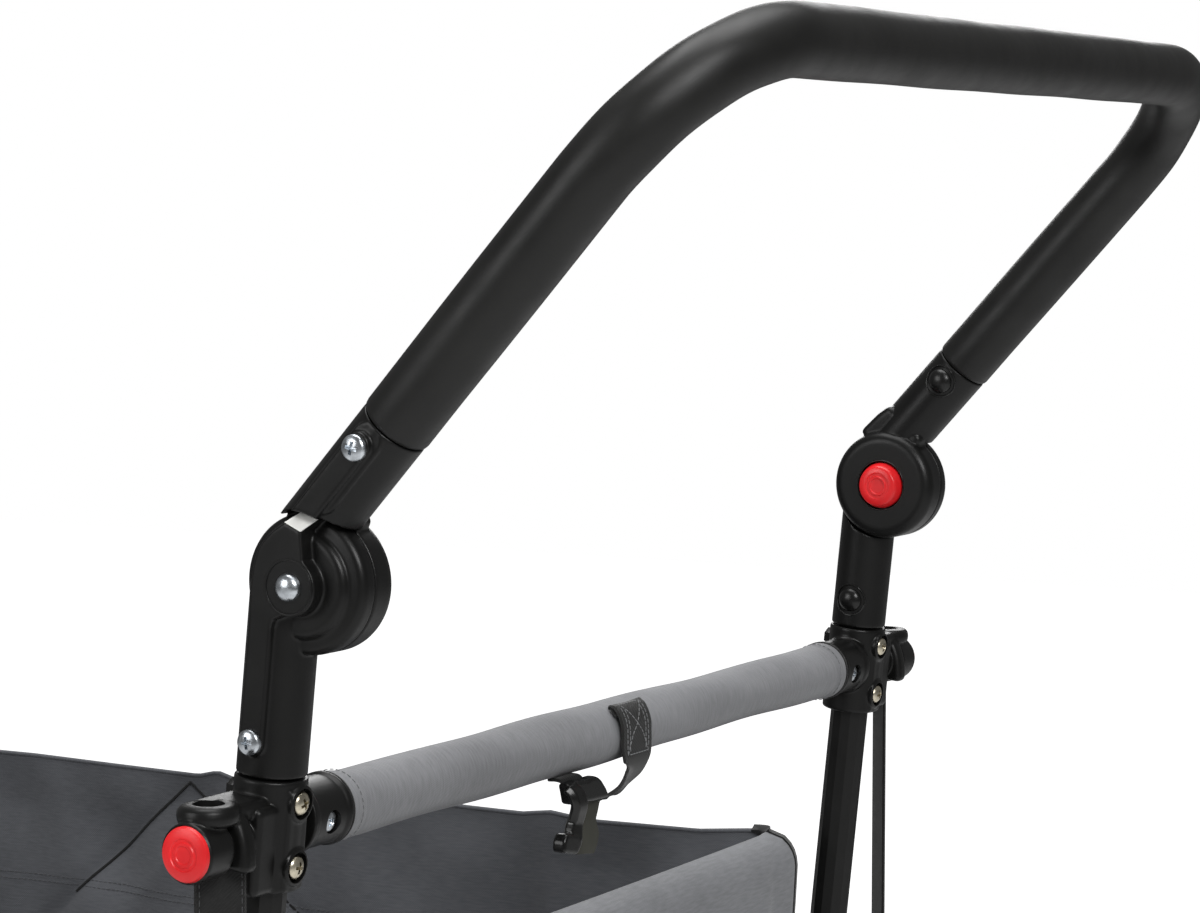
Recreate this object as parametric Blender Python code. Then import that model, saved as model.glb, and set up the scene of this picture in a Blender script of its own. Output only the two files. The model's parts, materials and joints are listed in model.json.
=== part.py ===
"""Folding stroller wagon with an angle-adjustable push handle.

Metres, +Z up, +X the way it is pushed, +Y its left. It stands on z = 0 with the origin under its
bounding box's centre. Each piece is one object, and each moving piece hangs from an empty on its joint.
"""

import bmesh
import bpy
from math import atan2, cos, pi, radians, sin, tan
from mathutils import Matrix, Vector
from mathutils.geometry import tessellate_polygon

# Gaps
GAP = 0.0003
PIN_GAP = 0.0003
SLIDE_GAP = 0.0004

# Frame: two end frames of bent posts, each with brackets and a covered rail
TRACK = 0.540
POST_SPAN = 0.785
POST_DIAMETER = 0.020
TUBE_WALL = 0.0015
POST_LEAN = radians(6.0)
POST_BEND_HEIGHT = 0.640
POST_BEND_RADIUS = 0.100
POST_FOOT_HEIGHT = 0.152
FRONT_POST_FOOT_HEIGHT = 0.222

# Angle hinges of the push handle
HINGE_HEIGHT = 0.880
POST_OFFSET = 0.0125
HANDLE_OFFSET = 0.0141
HINGE_DIAMETER = 0.0565
HINGE_INNER = -0.0170
HINGE_OUTER = 0.0098
HINGE_PARTING = -0.0020
HINGE_SHOULDER = 0.0210
TONGUE_PROUD = 0.0025
TONGUE_WIDTH = 0.0106
TONGUE_BOSS_RADIUS = 0.0118
TONGUE_CLEAR = 0.0300
TONGUE_EDGE = ((0.0045, 0.0251), (-0.0034, 0.0225))
TONGUE_TIP = ((0.0004, 0.0292), (-0.0078, 0.0277))
TONGUE_FALL = 0.0047
BOLT_DIAMETER = 0.006
BOLT_HEAD_DIAMETER = 0.0115
BOLT_HEAD_HEIGHT = 0.0030
BUTTON_DIAMETER = 0.0240
BUTTON_HEAD = 0.0080
BUTTON_PROUD = 0.0050
BUTTON_TRAVEL = 0.0030
BUTTON_STEM_DIAMETER = 0.0160
LOCK_TEETH = 8
LOCK_TIP_RADIUS = 0.0160
LOCK_ROOT_RADIUS = 0.0130
LOCK_THICKNESS = 0.0050
LOCK_POCKET_DEPTH = 0.0060
HINGE_WEB = 0.0026

# Push handle
ARM_DIAMETER = 0.0287
GRIP_DIAMETER = 0.0296
HANDLE_TUBE_DIAMETER = 0.0220
HANDLE_LEAN = radians(42.6)
HANDLE_LENGTH = 0.274
HANDLE_BEND_RADIUS = 0.072
GRIP_START = 0.0737
ARM_SOCKET_DEPTH = 0.026

# Lower hinge arm on the post
LOWER_ARM_LENGTH = 0.0785
LOWER_ARM_SOCKET = 0.0400

# Corner brackets, measured down along the post from the hinge
BRACKET_HEIGHT = 0.0440
BRACKET_DIAMETER = 0.0298
BRACKET_COLLAR_HEIGHT = 0.0100
BRACKET_BLOCK_OUT = 0.0190
BRACKET_BLOCK_DEPTH = 0.0250
RAIL_DROP = 0.0994
RAIL_DIAMETER = 0.0220
RAIL_CUP_DIAMETER = 0.0300
RAIL_CUP_LENGTH = 0.0280
RAIL_CUP_DEPTH = 0.0120
COVER_DIAMETER = 0.0280
COVER_HEM_DIAMETER = 0.0296
COVER_HEM_WIDTH = 0.0080

# Canopy-pole socket with its spring pin, on the outer side of each rear bracket
SOCKET_BORE = 0.0130
SOCKET_RING_DIAMETER = 0.0210
SOCKET_OUT = 0.0390
SOCKET_TOP = 0.0840
SOCKET_FLOOR = 0.0055
BARREL_DIAMETER = 0.0236
BARREL_NECK_DIAMETER = 0.0190
BARREL_OUT = 0.0505
BARREL_RING_LENGTH = 0.0075
BARREL_FLANGE_OUT = 0.0220
PIN_BUTTON_DIAMETER = 0.0186
PIN_BUTTON_PROUD = 0.0017
PIN_BUTTON_THICKNESS = 0.0025
PIN_DIAMETER = 0.0060
PIN_TRAVEL = 0.0030

# Load strap from each rear bracket to its foot
STRAP_WIDTH = 0.0208
STRAP_THICKNESS = 0.0018
STRAP_OUT = 0.0320
STRAP_TURN = radians(48.0)

# Side linkage: two crossing pairs on each side
PIN_HEIGHT = 0.235
PIN_REACH = 0.028
LINK_RISE = 0.16474
LINK_WIDTH = 0.022
LINK_THICKNESS = 0.007
LINK_PIN_DIAMETER = 0.008
LINK_HEAD_DIAMETER = 0.014
LINK_HEAD_HEIGHT = 0.0022
EAR_THICKNESS = 0.009
LINK_SIDE_GAP = 0.0010
SLIDER_HEIGHT = 0.036
SLIDER_DIAMETER = 0.0300

# Lower beams
BEAM_DIAMETER = 0.022
BEAM_HEIGHT = 0.200
FRONT_BEAM_HEIGHT = 0.225
FOOT_DIAMETER = 0.0300
FOOT_TOP = 0.262
FRONT_FOOT_BOTTOM = 0.186

# Wheels
REAR_WHEEL_DIAMETER = 0.240
REAR_TYRE_WIDTH = 0.042
REAR_WHEEL_OUT = 0.0400
AXLE_DIAMETER = 0.010
AXLE_CAP_DIAMETER = 0.020
AXLE_CAP_WIDTH = 0.006
FRONT_WHEEL_DIAMETER = 0.160
FRONT_TYRE_WIDTH = 0.034
CASTER_TRAIL = 0.040
CASTER_STEM_DIAMETER = 0.012
CASTER_STEM_LENGTH = 0.024
CASTER_CROWN_DIAMETER = 0.034
CASTER_CROWN_HEIGHT = 0.013
FORK_THICKNESS = 0.003
FRONT_AXLE_DIAMETER = 0.008
TYRE_DEPTH = 0.20
SPOKES = 5

# Foot brake
BRAKE_ROD_DIAMETER = 0.008
BRAKE_BACK = 0.078
BRAKE_HEIGHT = 0.228
BRAKE_TRAVEL = radians(14.0)
BRAKE_GAP = 0.0015
BRAKE_SHOE_ARC = radians(11.0)
BRAKE_SHOE_THICKNESS = 0.009
BRAKE_LUG_OUT = 0.120
PEDAL_LENGTH = 0.062
PEDAL_WIDTH = 0.090
PEDAL_THICKNESS = 0.006

# Fabric tub and its two stiff floor boards
TUB_RIM_HEIGHT = 0.688
TUB_FLOOR_HEIGHT = 0.270
TUB_RIM_END = 0.0130
TUB_FLOOR_END = 0.0300
TUB_RIM_SIDE = 0.0185
TUB_FLOOR_SIDE = 0.0400
TUB_FABRIC = 0.0025
TUB_ROLL = 0.0180
TUB_CORNER_RADIUS = 0.022
FOLD_DEPTH = 0.011
FOLD_PEAK = 0.004
SEAM_DEPTH = 0.005
SEAM_PEAK = 0.003
FOLD_END_HEIGHT = 0.330
BOARD_PARTING = 0.045
BOARD_SIDE = 0.0500
BOARD_THICKNESS = 0.005
BOARD_CORNER_RADIUS = 0.020
BOARD_SET = 0.0350

# Webbing on the rear rail and its buckle
WEBBING_WIDTH = 0.025
WEBBING_THICKNESS = 0.0016
WEBBING_PLACE = 0.0120
BUCKLE_WIDTH = 0.0230
BUCKLE_LENGTH = 0.0380
BUCKLE_THICKNESS = 0.0042
BUCKLE_PLACE = 0.0540
BUCKLE_TURN = radians(38.0)

# Sides of round pieces
FINE_SIDES = 20
ROUND_SIDES = 16
PLAIN_SIDES = 12
SMALL_SIDES = 10
WHEEL_SIDES = 24

# Worked out from the above
PLANE = TRACK / 2
POST_RADIUS = POST_DIAMETER / 2
HINGE_AXIS_RISE = HINGE_HEIGHT + POST_OFFSET * sin(POST_LEAN) - POST_BEND_HEIGHT
HINGE_X = -HINGE_AXIS_RISE * tan(POST_LEAN) - POST_OFFSET * cos(POST_LEAN)
LINK_REACH = POST_SPAN / 2 - PIN_REACH
BOARD_LENGTH = POST_SPAN / 2 - BOARD_SET - BOARD_PARTING / 2
FOLD_STEP = (POST_SPAN / 2 - TUB_RIM_END - TUB_CORNER_RADIUS - 0.004) / 6
INNER_LINK = (-EAR_THICKNESS / 2 - LINK_SIDE_GAP - LINK_THICKNESS, -EAR_THICKNESS / 2 - LINK_SIDE_GAP)
OUTER_LINK = (-INNER_LINK[1], -INNER_LINK[0])
REAR_AXLE_HEIGHT = REAR_WHEEL_DIAMETER / 2
FRONT_AXLE_HEIGHT = FRONT_WHEEL_DIAMETER / 2
FORK_INNER = FRONT_TYRE_WIDTH / 2 + 0.004
BOARD_AXIS_HEIGHT = TUB_FLOOR_HEIGHT + TUB_FABRIC + 0.0015 + BOARD_THICKNESS / 2

# Colours, roughness and metallic value
BLACK_PLASTIC = ("black_plastic", (0.012, 0.012, 0.012), 0.45, 0.0)
BLACK_STEEL = ("black_steel", (0.010, 0.010, 0.010), 0.38, 0.2)
FOAM = ("foam", (0.030, 0.030, 0.031), 0.85, 0.0)
RED_PLASTIC = ("red_plastic", (0.72, 0.020, 0.025), 0.38, 0.0)
ZINC = ("zinc", (0.62, 0.63, 0.62), 0.28, 1.0)
GREY_FABRIC = ("grey_fabric", (0.19, 0.195, 0.205), 0.9, 0.0)
WEBBING = ("webbing", (0.012, 0.012, 0.012), 0.85, 0.0)
RUBBER = ("rubber", (0.020, 0.020, 0.020), 0.8, 0.0)
BOARD = ("board", (0.06, 0.06, 0.062), 0.7, 0.0)

PLACES = {}


def material(finish):
    """The Principled material of a finish, made once."""
    name, colour, roughness, metallic = finish
    found = bpy.data.materials.get(name)
    if found:
        return found
    made = bpy.data.materials.new(name)
    made.use_nodes = True
    shader = made.node_tree.nodes["Principled BSDF"]
    shader.inputs["Base Color"].default_value = (*colour, 1.0)
    shader.inputs["Roughness"].default_value = roughness
    shader.inputs["Metallic"].default_value = metallic
    made.diffuse_color = (*colour, 1.0)
    return made


def link(scene_object):
    bpy.context.scene.collection.objects.link(scene_object)
    return scene_object


def joint(name, place, parent=None):
    """An empty on a joint's axis, at a place in the wagon's own coordinates."""
    empty = link(bpy.data.objects.new(name, None))
    empty.empty_display_size = 0.02
    start = PLACES[parent.name] if parent else Vector()
    PLACES[name] = Vector(place)
    empty.parent = parent
    empty.location = PLACES[name] - start
    return empty


def outward(shape):
    """Turns every face of a closed shape outward."""
    shape.normal_update()
    bmesh.ops.recalc_face_normals(shape, faces=shape.faces)
    return shape


def add(name, shape, finish, parent, origin=None):
    """Makes the named object from a shape in the wagon's coordinates, with its origin on its joint."""
    start = PLACES[parent.name]
    origin = start if origin is None else Vector(origin)
    bmesh.ops.translate(shape, verts=shape.verts, vec=-origin)
    outward(shape)
    mesh = bpy.data.meshes.new(name)
    shape.to_mesh(mesh)
    shape.free()
    mesh.materials.append(material(finish))
    mesh.shade_smooth()
    mesh.set_sharp_from_angle(angle=radians(32.0))
    made = link(bpy.data.objects.new(name, mesh))
    made.parent = parent
    made.location = origin - start
    return made


def add_pair(name, shape, finish, parents, origin=None):
    """The left piece as it is given, and the right one as its mirror image."""
    right = shape.copy()
    bmesh.ops.scale(right, verts=right.verts, vec=(1, -1, 1))
    bmesh.ops.reverse_faces(right, faces=right.faces)
    other = None if origin is None else (origin[0], -origin[1], origin[2])
    return (
        add(name + "_left", shape, finish, parents[0], origin),
        add(name + "_right", right, finish, parents[1], other),
    )


def loft(rings, closed=False):
    """Skins rings of as many points each. An open loft is capped at both ends."""
    shape = bmesh.new()
    rows = [[shape.verts.new(point) for point in ring] for ring in rings]
    count = len(rows[0])
    pairs = list(zip(rows, rows[1:]))
    if closed:
        pairs.append((rows[-1], rows[0]))
    for first, second in pairs:
        for i in range(count):
            j = (i + 1) % count
            shape.faces.new((first[i], first[j], second[j], second[i]))
    if not closed:
        shape.faces.new(rows[0][::-1])
        shape.faces.new(rows[-1])
    return shape


def turned(profile, sides=ROUND_SIDES, ring=False):
    """A solid turned about Z from (radius, height) points. A ring's profile closes on itself."""
    shape = bmesh.new()
    rows = []
    for radius, height in profile:
        if radius < 1e-7:
            rows.append([shape.verts.new((0, 0, height))])
            continue
        angles = [2 * pi * i / sides for i in range(sides)]
        rows.append([shape.verts.new((radius * cos(a), radius * sin(a), height)) for a in angles])
    pairs = list(zip(rows, rows[1:]))
    if ring:
        pairs.append((rows[-1], rows[0]))
    for first, second in pairs:
        for i in range(sides):
            j = (i + 1) % sides
            corners = [first[i % len(first)], first[j % len(first)]]
            corners += [second[j % len(second)], second[i % len(second)]]
            corners = list(dict.fromkeys(corners))
            if len(corners) > 2:
                shape.faces.new(corners)
    if not ring:
        for row in (rows[0], rows[-1]):
            if len(row) > 1:
                shape.faces.new(row)
    return outward(shape)


def rod(radius, start, end, sides=ROUND_SIDES, bevel=0.0):
    """A round bar between two points, its ends beveled if asked."""
    start, end = Vector(start), Vector(end)
    length = (end - start).length
    if bevel:
        profile = [(radius - bevel, 0), (radius, bevel), (radius, length - bevel), (radius - bevel, length)]
    else:
        profile = [(radius, 0), (radius, length)]
    return aimed(turned(profile, sides), start, end - start)


def aimed(shape, start, direction):
    """Turns a shape's Z to a direction and moves it to a start point."""
    turn = Vector(direction).normalized().to_track_quat("Z", "X").to_matrix().to_4x4()
    shape.transform(Matrix.Translation(Vector(start)) @ turn)
    return shape


def pipe(points, normal, outer, inner=0.0, sides=ROUND_SIDES):
    """A round bar, or an open tube, swept along a path that lies in one plane."""
    points = [Vector(point) for point in points]
    normal = Vector(normal).normalized()

    def rings(radius):
        made = []
        for i, point in enumerate(points):
            along = points[min(i + 1, len(points) - 1)] - points[max(i - 1, 0)]
            across = normal.cross(along.normalized())
            angles = [2 * pi * k / sides for k in range(sides)]
            made.append([point + radius * (cos(a) * normal + sin(a) * across) for a in angles])
        return made

    if not inner:
        return loft(rings(outer))
    return loft(rings(outer) + rings(inner)[::-1], closed=True)


def rounded(corners, radius, steps):
    """The corners' polyline with each inner corner replaced by an arc."""
    corners = [Vector(corner) for corner in corners]
    points = [corners[0]]
    for before, corner, after in zip(corners, corners[1:], corners[2:]):
        back = (before - corner).normalized()
        on = (after - corner).normalized()
        half = back.angle(on) / 2
        centre = corner + (back + on).normalized() * radius / sin(half)
        start = corner + back * radius / tan(half) - centre
        end = corner + on * radius / tan(half) - centre
        points += [centre + radius * start.slerp(end, i / steps) for i in range(steps + 1)]
    return points + [corners[-1]]


def arc(centre, radius, start, end, steps):
    """Points of a circle's arc in a plane, from one angle to another."""
    angles = [start + (end - start) * i / steps for i in range(steps + 1)]
    return [(centre[0] + radius * cos(a), centre[1] + radius * sin(a)) for a in angles]


def circle(centre, radius, sides):
    return arc(centre, radius, 0, 2 * pi, sides)[:-1]


def slot_outline(start, end, start_radius, end_radius, steps=5):
    """Outline of two round ends joined by straight sides."""
    heading = atan2(end[1] - start[1], end[0] - start[0])
    outline = arc(end, end_radius, heading - pi / 2, heading + pi / 2, steps)
    return outline + arc(start, start_radius, heading + pi / 2, heading + 3 * pi / 2, steps)


def rounded_rectangle(half_x, half_y, radius, steps):
    """Outline of a rectangle about the origin with round corners."""
    outline = []
    for turn, (sx, sy) in enumerate(((1, 1), (-1, 1), (-1, -1), (1, -1))):
        centre = (sx * (half_x - radius), sy * (half_y - radius))
        outline += arc(centre, radius, turn * pi / 2, (turn + 1) * pi / 2, steps)
    return outline


def plate(outline, low, high, holes=()):
    """Extrudes an outline with holes along Z, from low to high."""
    loops = [list(outline)] + [list(hole) for hole in holes]
    flat = [Vector((a, b, 0)) for loop in loops for a, b in loop]
    triangles = tessellate_polygon([[Vector((a, b, 0)) for a, b in loop] for loop in loops])
    shape = bmesh.new()
    bottom = [shape.verts.new((point.x, point.y, low)) for point in flat]
    top = [shape.verts.new((point.x, point.y, high)) for point in flat]
    for triangle in triangles:
        shape.faces.new([bottom[i] for i in triangle])
        shape.faces.new([top[i] for i in reversed(triangle)])
    start = 0
    for loop in loops:
        count = len(loop)
        for i in range(count):
            a, b = start + i, start + (i + 1) % count
            shape.faces.new((bottom[a], bottom[b], top[b], top[a]))
        start += count
    return outward(shape)


def side_plate(outline, low, high, holes=()):
    """A plate whose outline is in X and Z, and whose thickness runs from y = low to y = high."""
    shape = plate(outline, low, high, holes)
    shape.transform(Matrix(((1, 0, 0, 0), (0, 0, 1, 0), (0, 1, 0, 0), (0, 0, 0, 1))))
    bmesh.ops.reverse_faces(shape, faces=shape.faces)
    return shape


def box(low, high):
    outline = [(low[0], low[1]), (high[0], low[1]), (high[0], high[1]), (low[0], high[1])]
    return plate(outline, low[2], high[2])


def combined(base, tool, operation):
    """The Boolean of two shapes. Both are used up."""
    made = []
    for shape in (base, tool):
        mesh = bpy.data.meshes.new("work")
        outward(shape).to_mesh(mesh)
        shape.free()
        made.append(link(bpy.data.objects.new("work", mesh)))
    cut = made[0].modifiers.new("combine", "BOOLEAN")
    cut.operation = operation
    cut.solver = "EXACT"
    cut.object = made[1]
    graph = bpy.context.evaluated_depsgraph_get()
    result = bmesh.new()
    result.from_object(made[0], graph)
    for work in made:
        mesh = work.data
        bpy.data.objects.remove(work)
        bpy.data.meshes.remove(mesh)
    bmesh.ops.remove_doubles(result, verts=result.verts, dist=2e-6)
    bmesh.ops.dissolve_degenerate(result, edges=result.edges, dist=2e-6)
    return result


def union(first, *others):
    for other in others:
        first = combined(first, other, "UNION")
    return first


def minus(first, *others):
    for other in others:
        first = combined(first, other, "DIFFERENCE")
    return first


def fore_and_aft(shape):
    """Mirrors a shape of the rear frame to the front frame."""
    bmesh.ops.scale(shape, verts=shape.verts, vec=(-1, 1, 1))
    bmesh.ops.translate(shape, verts=shape.verts, vec=(POST_SPAN, 0, 0))
    bmesh.ops.reverse_faces(shape, faces=shape.faces)
    return shape


def on_post(down, forward=0.0, out=0.0):
    """A point of the leaning rear post: down from the hinge's level along it, forward and outward."""
    x = HINGE_X + POST_OFFSET * cos(POST_LEAN) + down * sin(POST_LEAN) + forward * cos(POST_LEAN)
    z = HINGE_HEIGHT + POST_OFFSET * sin(POST_LEAN) - down * cos(POST_LEAN) + forward * sin(POST_LEAN)
    return Vector((x, PLANE + out, z))


def post_frame(down):
    """Matrix whose Z runs up along the leaning post, X forward and Y outward."""
    return Matrix.Translation(on_post(down)) @ Matrix.Rotation(-POST_LEAN, 4, "Y")


def on_handle(along, offset=None, out=0.0):
    """A point of the handle's plane: up along its arm from the hinge, on its centre line or off it."""
    offset = HANDLE_OFFSET if offset is None else offset
    x = HINGE_X - along * sin(HANDLE_LEAN) + offset * cos(HANDLE_LEAN)
    z = HINGE_HEIGHT + along * cos(HANDLE_LEAN) + offset * sin(HANDLE_LEAN)
    return Vector((x, PLANE + out, z))


def hinge_cylinder(radius, low, high, sides=FINE_SIDES):
    """A bar on the hinge axis, between two distances out from the post's plane."""
    return rod(radius, (HINGE_X, PLANE + low, HINGE_HEIGHT), (HINGE_X, PLANE + high, HINGE_HEIGHT), sides)


def hinge_turned(profile, sides=FINE_SIDES):
    """A solid turned on the hinge axis. Heights are distances out from the post's plane."""
    return aimed(turned(profile, sides), (HINGE_X, PLANE, HINGE_HEIGHT), (0, 1, 0))


def make_posts(rear, front):
    """Bent posts: upright below, leaning away from the middle above the bend."""
    for frame, foot, top, name in (
        (rear, POST_FOOT_HEIGHT, LOWER_ARM_LENGTH - LOWER_ARM_SOCKET + GAP, "rear_post"),
        (front, FRONT_POST_FOOT_HEIGHT, LOWER_ARM_LENGTH, "front_post"),
    ):
        corners = [(0, PLANE, foot), (0, PLANE, POST_BEND_HEIGHT), on_post(top)]
        path = rounded(corners, POST_BEND_RADIUS, 2)
        shape = pipe(path, (0, 1, 0), POST_RADIUS, POST_RADIUS - TUBE_WALL, PLAIN_SIDES)
        if frame is front:
            fore_and_aft(shape)
        add_pair(name, shape, BLACK_STEEL, (frame, frame))


def bracket_body():
    """Collar, block and rail cup that every corner bracket shares, before its bores."""
    radius = BRACKET_DIAMETER / 2
    half = BRACKET_BLOCK_DEPTH / 2
    top = on_post(LOWER_ARM_LENGTH + 3 * GAP)
    bottom = on_post(LOWER_ARM_LENGTH + BRACKET_HEIGHT)
    collar = rod(radius, bottom, top, ROUND_SIDES, 0.0008)
    outline = [(-half, 0.0), (half, 0.0), (half, BRACKET_BLOCK_OUT - 0.003)]
    outline += [(half - 0.003, BRACKET_BLOCK_OUT), (-half + 0.003, BRACKET_BLOCK_OUT)]
    outline += [(-half, BRACKET_BLOCK_OUT - 0.003)]
    block = plate(outline, 0.001, BRACKET_HEIGHT - BRACKET_COLLAR_HEIGHT)
    block.transform(post_frame(LOWER_ARM_LENGTH + BRACKET_HEIGHT))
    rail = on_post(RAIL_DROP)
    cup = rod(RAIL_CUP_DIAMETER / 2, rail - Vector((0, RAIL_CUP_LENGTH, 0)), rail, ROUND_SIDES)
    return union(collar, block, cup)


def bracket_bores(shape):
    """Cuts the post's bore and the rail's bore."""
    post_bore = rod(POST_RADIUS + GAP, on_post(LOWER_ARM_LENGTH + BRACKET_HEIGHT + 0.01), on_post(0.05), PLAIN_SIDES)
    rail = on_post(RAIL_DROP)
    mouth = rail - Vector((0, RAIL_CUP_LENGTH + 0.001, 0))
    floor = rail - Vector((0, RAIL_CUP_LENGTH - RAIL_CUP_DEPTH, 0))
    rail_bore = rod(RAIL_DIAMETER / 2 + GAP, mouth, floor, PLAIN_SIDES)
    return minus(shape, post_bore, rail_bore)


def make_brackets(rear, front, pins):
    """Corner brackets. The rear ones carry a canopy-pole socket with a sprung pin."""
    rail = on_post(RAIL_DROP)
    socket = Vector((rail.x, PLANE + SOCKET_OUT, HINGE_HEIGHT - SOCKET_TOP))
    out = Vector((0, 1, 0))
    barrel = aimed(
        turned(
            [
                (BARREL_DIAMETER / 2, BARREL_FLANGE_OUT - 0.006),
                (BARREL_DIAMETER / 2, BARREL_FLANGE_OUT),
                (BARREL_NECK_DIAMETER / 2, BARREL_FLANGE_OUT + 0.003),
                (BARREL_NECK_DIAMETER / 2, BARREL_OUT - BARREL_RING_LENGTH - 0.0015),
                (BARREL_DIAMETER / 2, BARREL_OUT - BARREL_RING_LENGTH),
                (BARREL_DIAMETER / 2, BARREL_OUT),
            ]
        ),
        (rail.x, PLANE, rail.z),
        out,
    )
    drop = Vector((0, 0, rail.z - BARREL_NECK_DIAMETER / 2 + 0.002 - socket.z))
    ring = rod(SOCKET_RING_DIAMETER / 2, socket + drop, socket, PLAIN_SIDES)
    floor = Vector((socket.x, socket.y, rail.z - SOCKET_FLOOR))
    bore = rod(SOCKET_BORE / 2, floor, socket + Vector((0, 0, 0.004)), PLAIN_SIDES)
    pin_bore = rod(PIN_DIAMETER / 2 + PIN_GAP, socket_axis(SOCKET_OUT), socket_axis(BARREL_OUT + 0.004), SMALL_SIDES)
    button_back = BARREL_OUT + PIN_BUTTON_PROUD - PIN_BUTTON_THICKNESS
    pocket_floor = button_back - PIN_TRAVEL - 0.0005
    pocket = rod(PIN_BUTTON_DIAMETER / 2 + PIN_GAP, socket_axis(pocket_floor), socket_axis(BARREL_OUT + 0.004))
    shape = union(bracket_body(), barrel, ring)
    shape = minus(bracket_bores(shape), bore, pin_bore, pocket)
    add_pair("rear_bracket", shape, BLACK_PLASTIC, (rear, rear))

    add_pair("front_bracket", fore_and_aft(bracket_bores(bracket_body())), BLACK_PLASTIC, (front, front))

    tip = SOCKET_OUT + SOCKET_BORE / 2 + GAP
    face = BARREL_OUT + PIN_BUTTON_PROUD
    profile = [(0, tip), (PIN_DIAMETER / 2, tip), (PIN_DIAMETER / 2, button_back)]
    profile += [(PIN_BUTTON_DIAMETER / 2, button_back), (PIN_BUTTON_DIAMETER / 2, face - 0.0010)]
    profile += [(PIN_BUTTON_DIAMETER / 2 - 0.0010, face), (0, face)]
    pin = aimed(turned(profile), (rail.x, PLANE, rail.z), out)
    add_pair("socket_pin", pin, RED_PLASTIC, pins)


def socket_axis(out):
    """A point on the socket pin's axis, so far out from the post's plane."""
    rail = on_post(RAIL_DROP)
    return Vector((rail.x, PLANE + out, rail.z))


def make_rails(rear, front):
    """End rails between the brackets, each in a fabric sleeve with a stitched hem at both ends."""
    rail = on_post(RAIL_DROP)
    reach = PLANE - RAIL_CUP_LENGTH + RAIL_CUP_DEPTH - GAP
    sleeve = PLANE - RAIL_CUP_LENGTH - GAP
    inner = RAIL_DIAMETER / 2 + GAP
    outer = COVER_DIAMETER / 2
    hem = COVER_HEM_DIAMETER / 2
    for frame, rail_name in ((rear, "rear_rail"), (front, "front_rail")):
        path = [(rail.x, -reach, rail.z), (rail.x, reach, rail.z)]
        tube = pipe(path, (0, 0, 1), RAIL_DIAMETER / 2, RAIL_DIAMETER / 2 - TUBE_WALL, PLAIN_SIDES)
        half = [(outer, sleeve - COVER_HEM_WIDTH - 0.003), (hem, sleeve - COVER_HEM_WIDTH)]
        half += [(hem, sleeve), (inner, sleeve)]
        profile = [(radius, -height) for radius, height in reversed(half)] + half
        cover = aimed(turned(profile, ring=True), (rail.x, 0, rail.z), (0, 1, 0))
        if frame is front:
            fore_and_aft(tube)
            fore_and_aft(cover)
        add(rail_name, tube, BLACK_STEEL, frame)
        add(rail_name + "_cover", cover, GREY_FABRIC, frame)


def ribbon(stations, width, thickness):
    """A strap through stations of (point, direction across its width)."""
    points = [Vector(point) for point, _ in stations]
    rings = []
    for i, (point, across) in enumerate(stations):
        along = (points[min(i + 1, len(points) - 1)] - points[max(i - 1, 0)]).normalized()
        across = Vector(across)
        across = (across - along * across.dot(along)).normalized()
        through = along.cross(across)
        half, thin = across * width / 2, through * thickness / 2
        centre = Vector(point)
        rings.append([centre + half + thin, centre - half + thin, centre - half - thin, centre + half - thin])
    return loft(rings)


def make_rail_strap(rear, buckle_joint):
    """Webbing sewn round the rear rail, led through the bar of a hanging buckle."""
    rail = on_post(RAIL_DROP)
    radius = COVER_DIAMETER / 2 + 2 * GAP + WEBBING_THICKNESS / 2
    stations = []
    for i in range(8):
        angle = radians(95 + 24 * i)
        point = (rail.x + radius * cos(angle), WEBBING_PLACE, rail.z + radius * sin(angle))
        stations.append((point, (0, 1, 0)))
    low = rail.z - radius
    stations += [
        ((rail.x - 0.0040, WEBBING_PLACE, low - 0.0060), (0, 1, 0)),
        ((rail.x - 0.0040, WEBBING_PLACE + 0.005, low - 0.0125), (0.40, 0.90, 0)),
        ((rail.x - 0.0020, WEBBING_PLACE + 0.018, low - 0.0150), (0.90, 0.35, 0)),
        ((rail.x, WEBBING_PLACE + 0.030, low - 0.0120), (1, 0, 0)),
        ((rail.x, BUCKLE_PLACE, low - 0.0085), (1, 0, 0)),
        ((rail.x, BUCKLE_PLACE + 0.010, low - 0.0045), (1, 0, 0)),
        ((rail.x, BUCKLE_PLACE + 0.018, low - 0.0012), (1, 0, 0)),
    ]
    add("rail_strap", ribbon(stations, WEBBING_WIDTH, WEBBING_THICKNESS), WEBBING, rear)

    half = BUCKLE_WIDTH / 2
    slot_half = WEBBING_WIDTH / 2 + 0.0006
    bar = 0.0032
    frame_half = slot_half + bar
    outline = [(-frame_half, 0.004), (-frame_half + 0.003, 0.007), (frame_half - 0.003, 0.007)]
    outline += [(frame_half, 0.004), (frame_half, -0.0045), (half - 0.001, -0.0085)]
    outline += [(half - 0.0035, -0.017), (half - 0.0005, -0.026), (half + 0.0010, -0.0300)]
    outline += [(half - 0.0035, -0.0330), (0.0045, -0.0325), (0.0035, -0.0310), (-0.0035, -0.0310)]
    outline += [(-0.0045, -0.0325), (-half + 0.0035, -0.0330), (-half - 0.0010, -0.0300)]
    outline += [(-half + 0.0005, -0.026), (-half + 0.0035, -0.017), (-half + 0.001, -0.0085)]
    outline += [(-frame_half, -0.0045)]
    slot = [(-slot_half, -0.0030), (slot_half, -0.0030), (slot_half, 0.0036), (-slot_half, 0.0036)]
    shape = plate(outline, -BUCKLE_THICKNESS / 2, BUCKLE_THICKNESS / 2, [slot])
    shape.transform(Matrix.Rotation(pi / 2, 4, "X"))
    shape.transform(Matrix.Translation(PLACES[buckle_joint.name]))
    add("strap_buckle", shape, BLACK_PLASTIC, buckle_joint)


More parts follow.
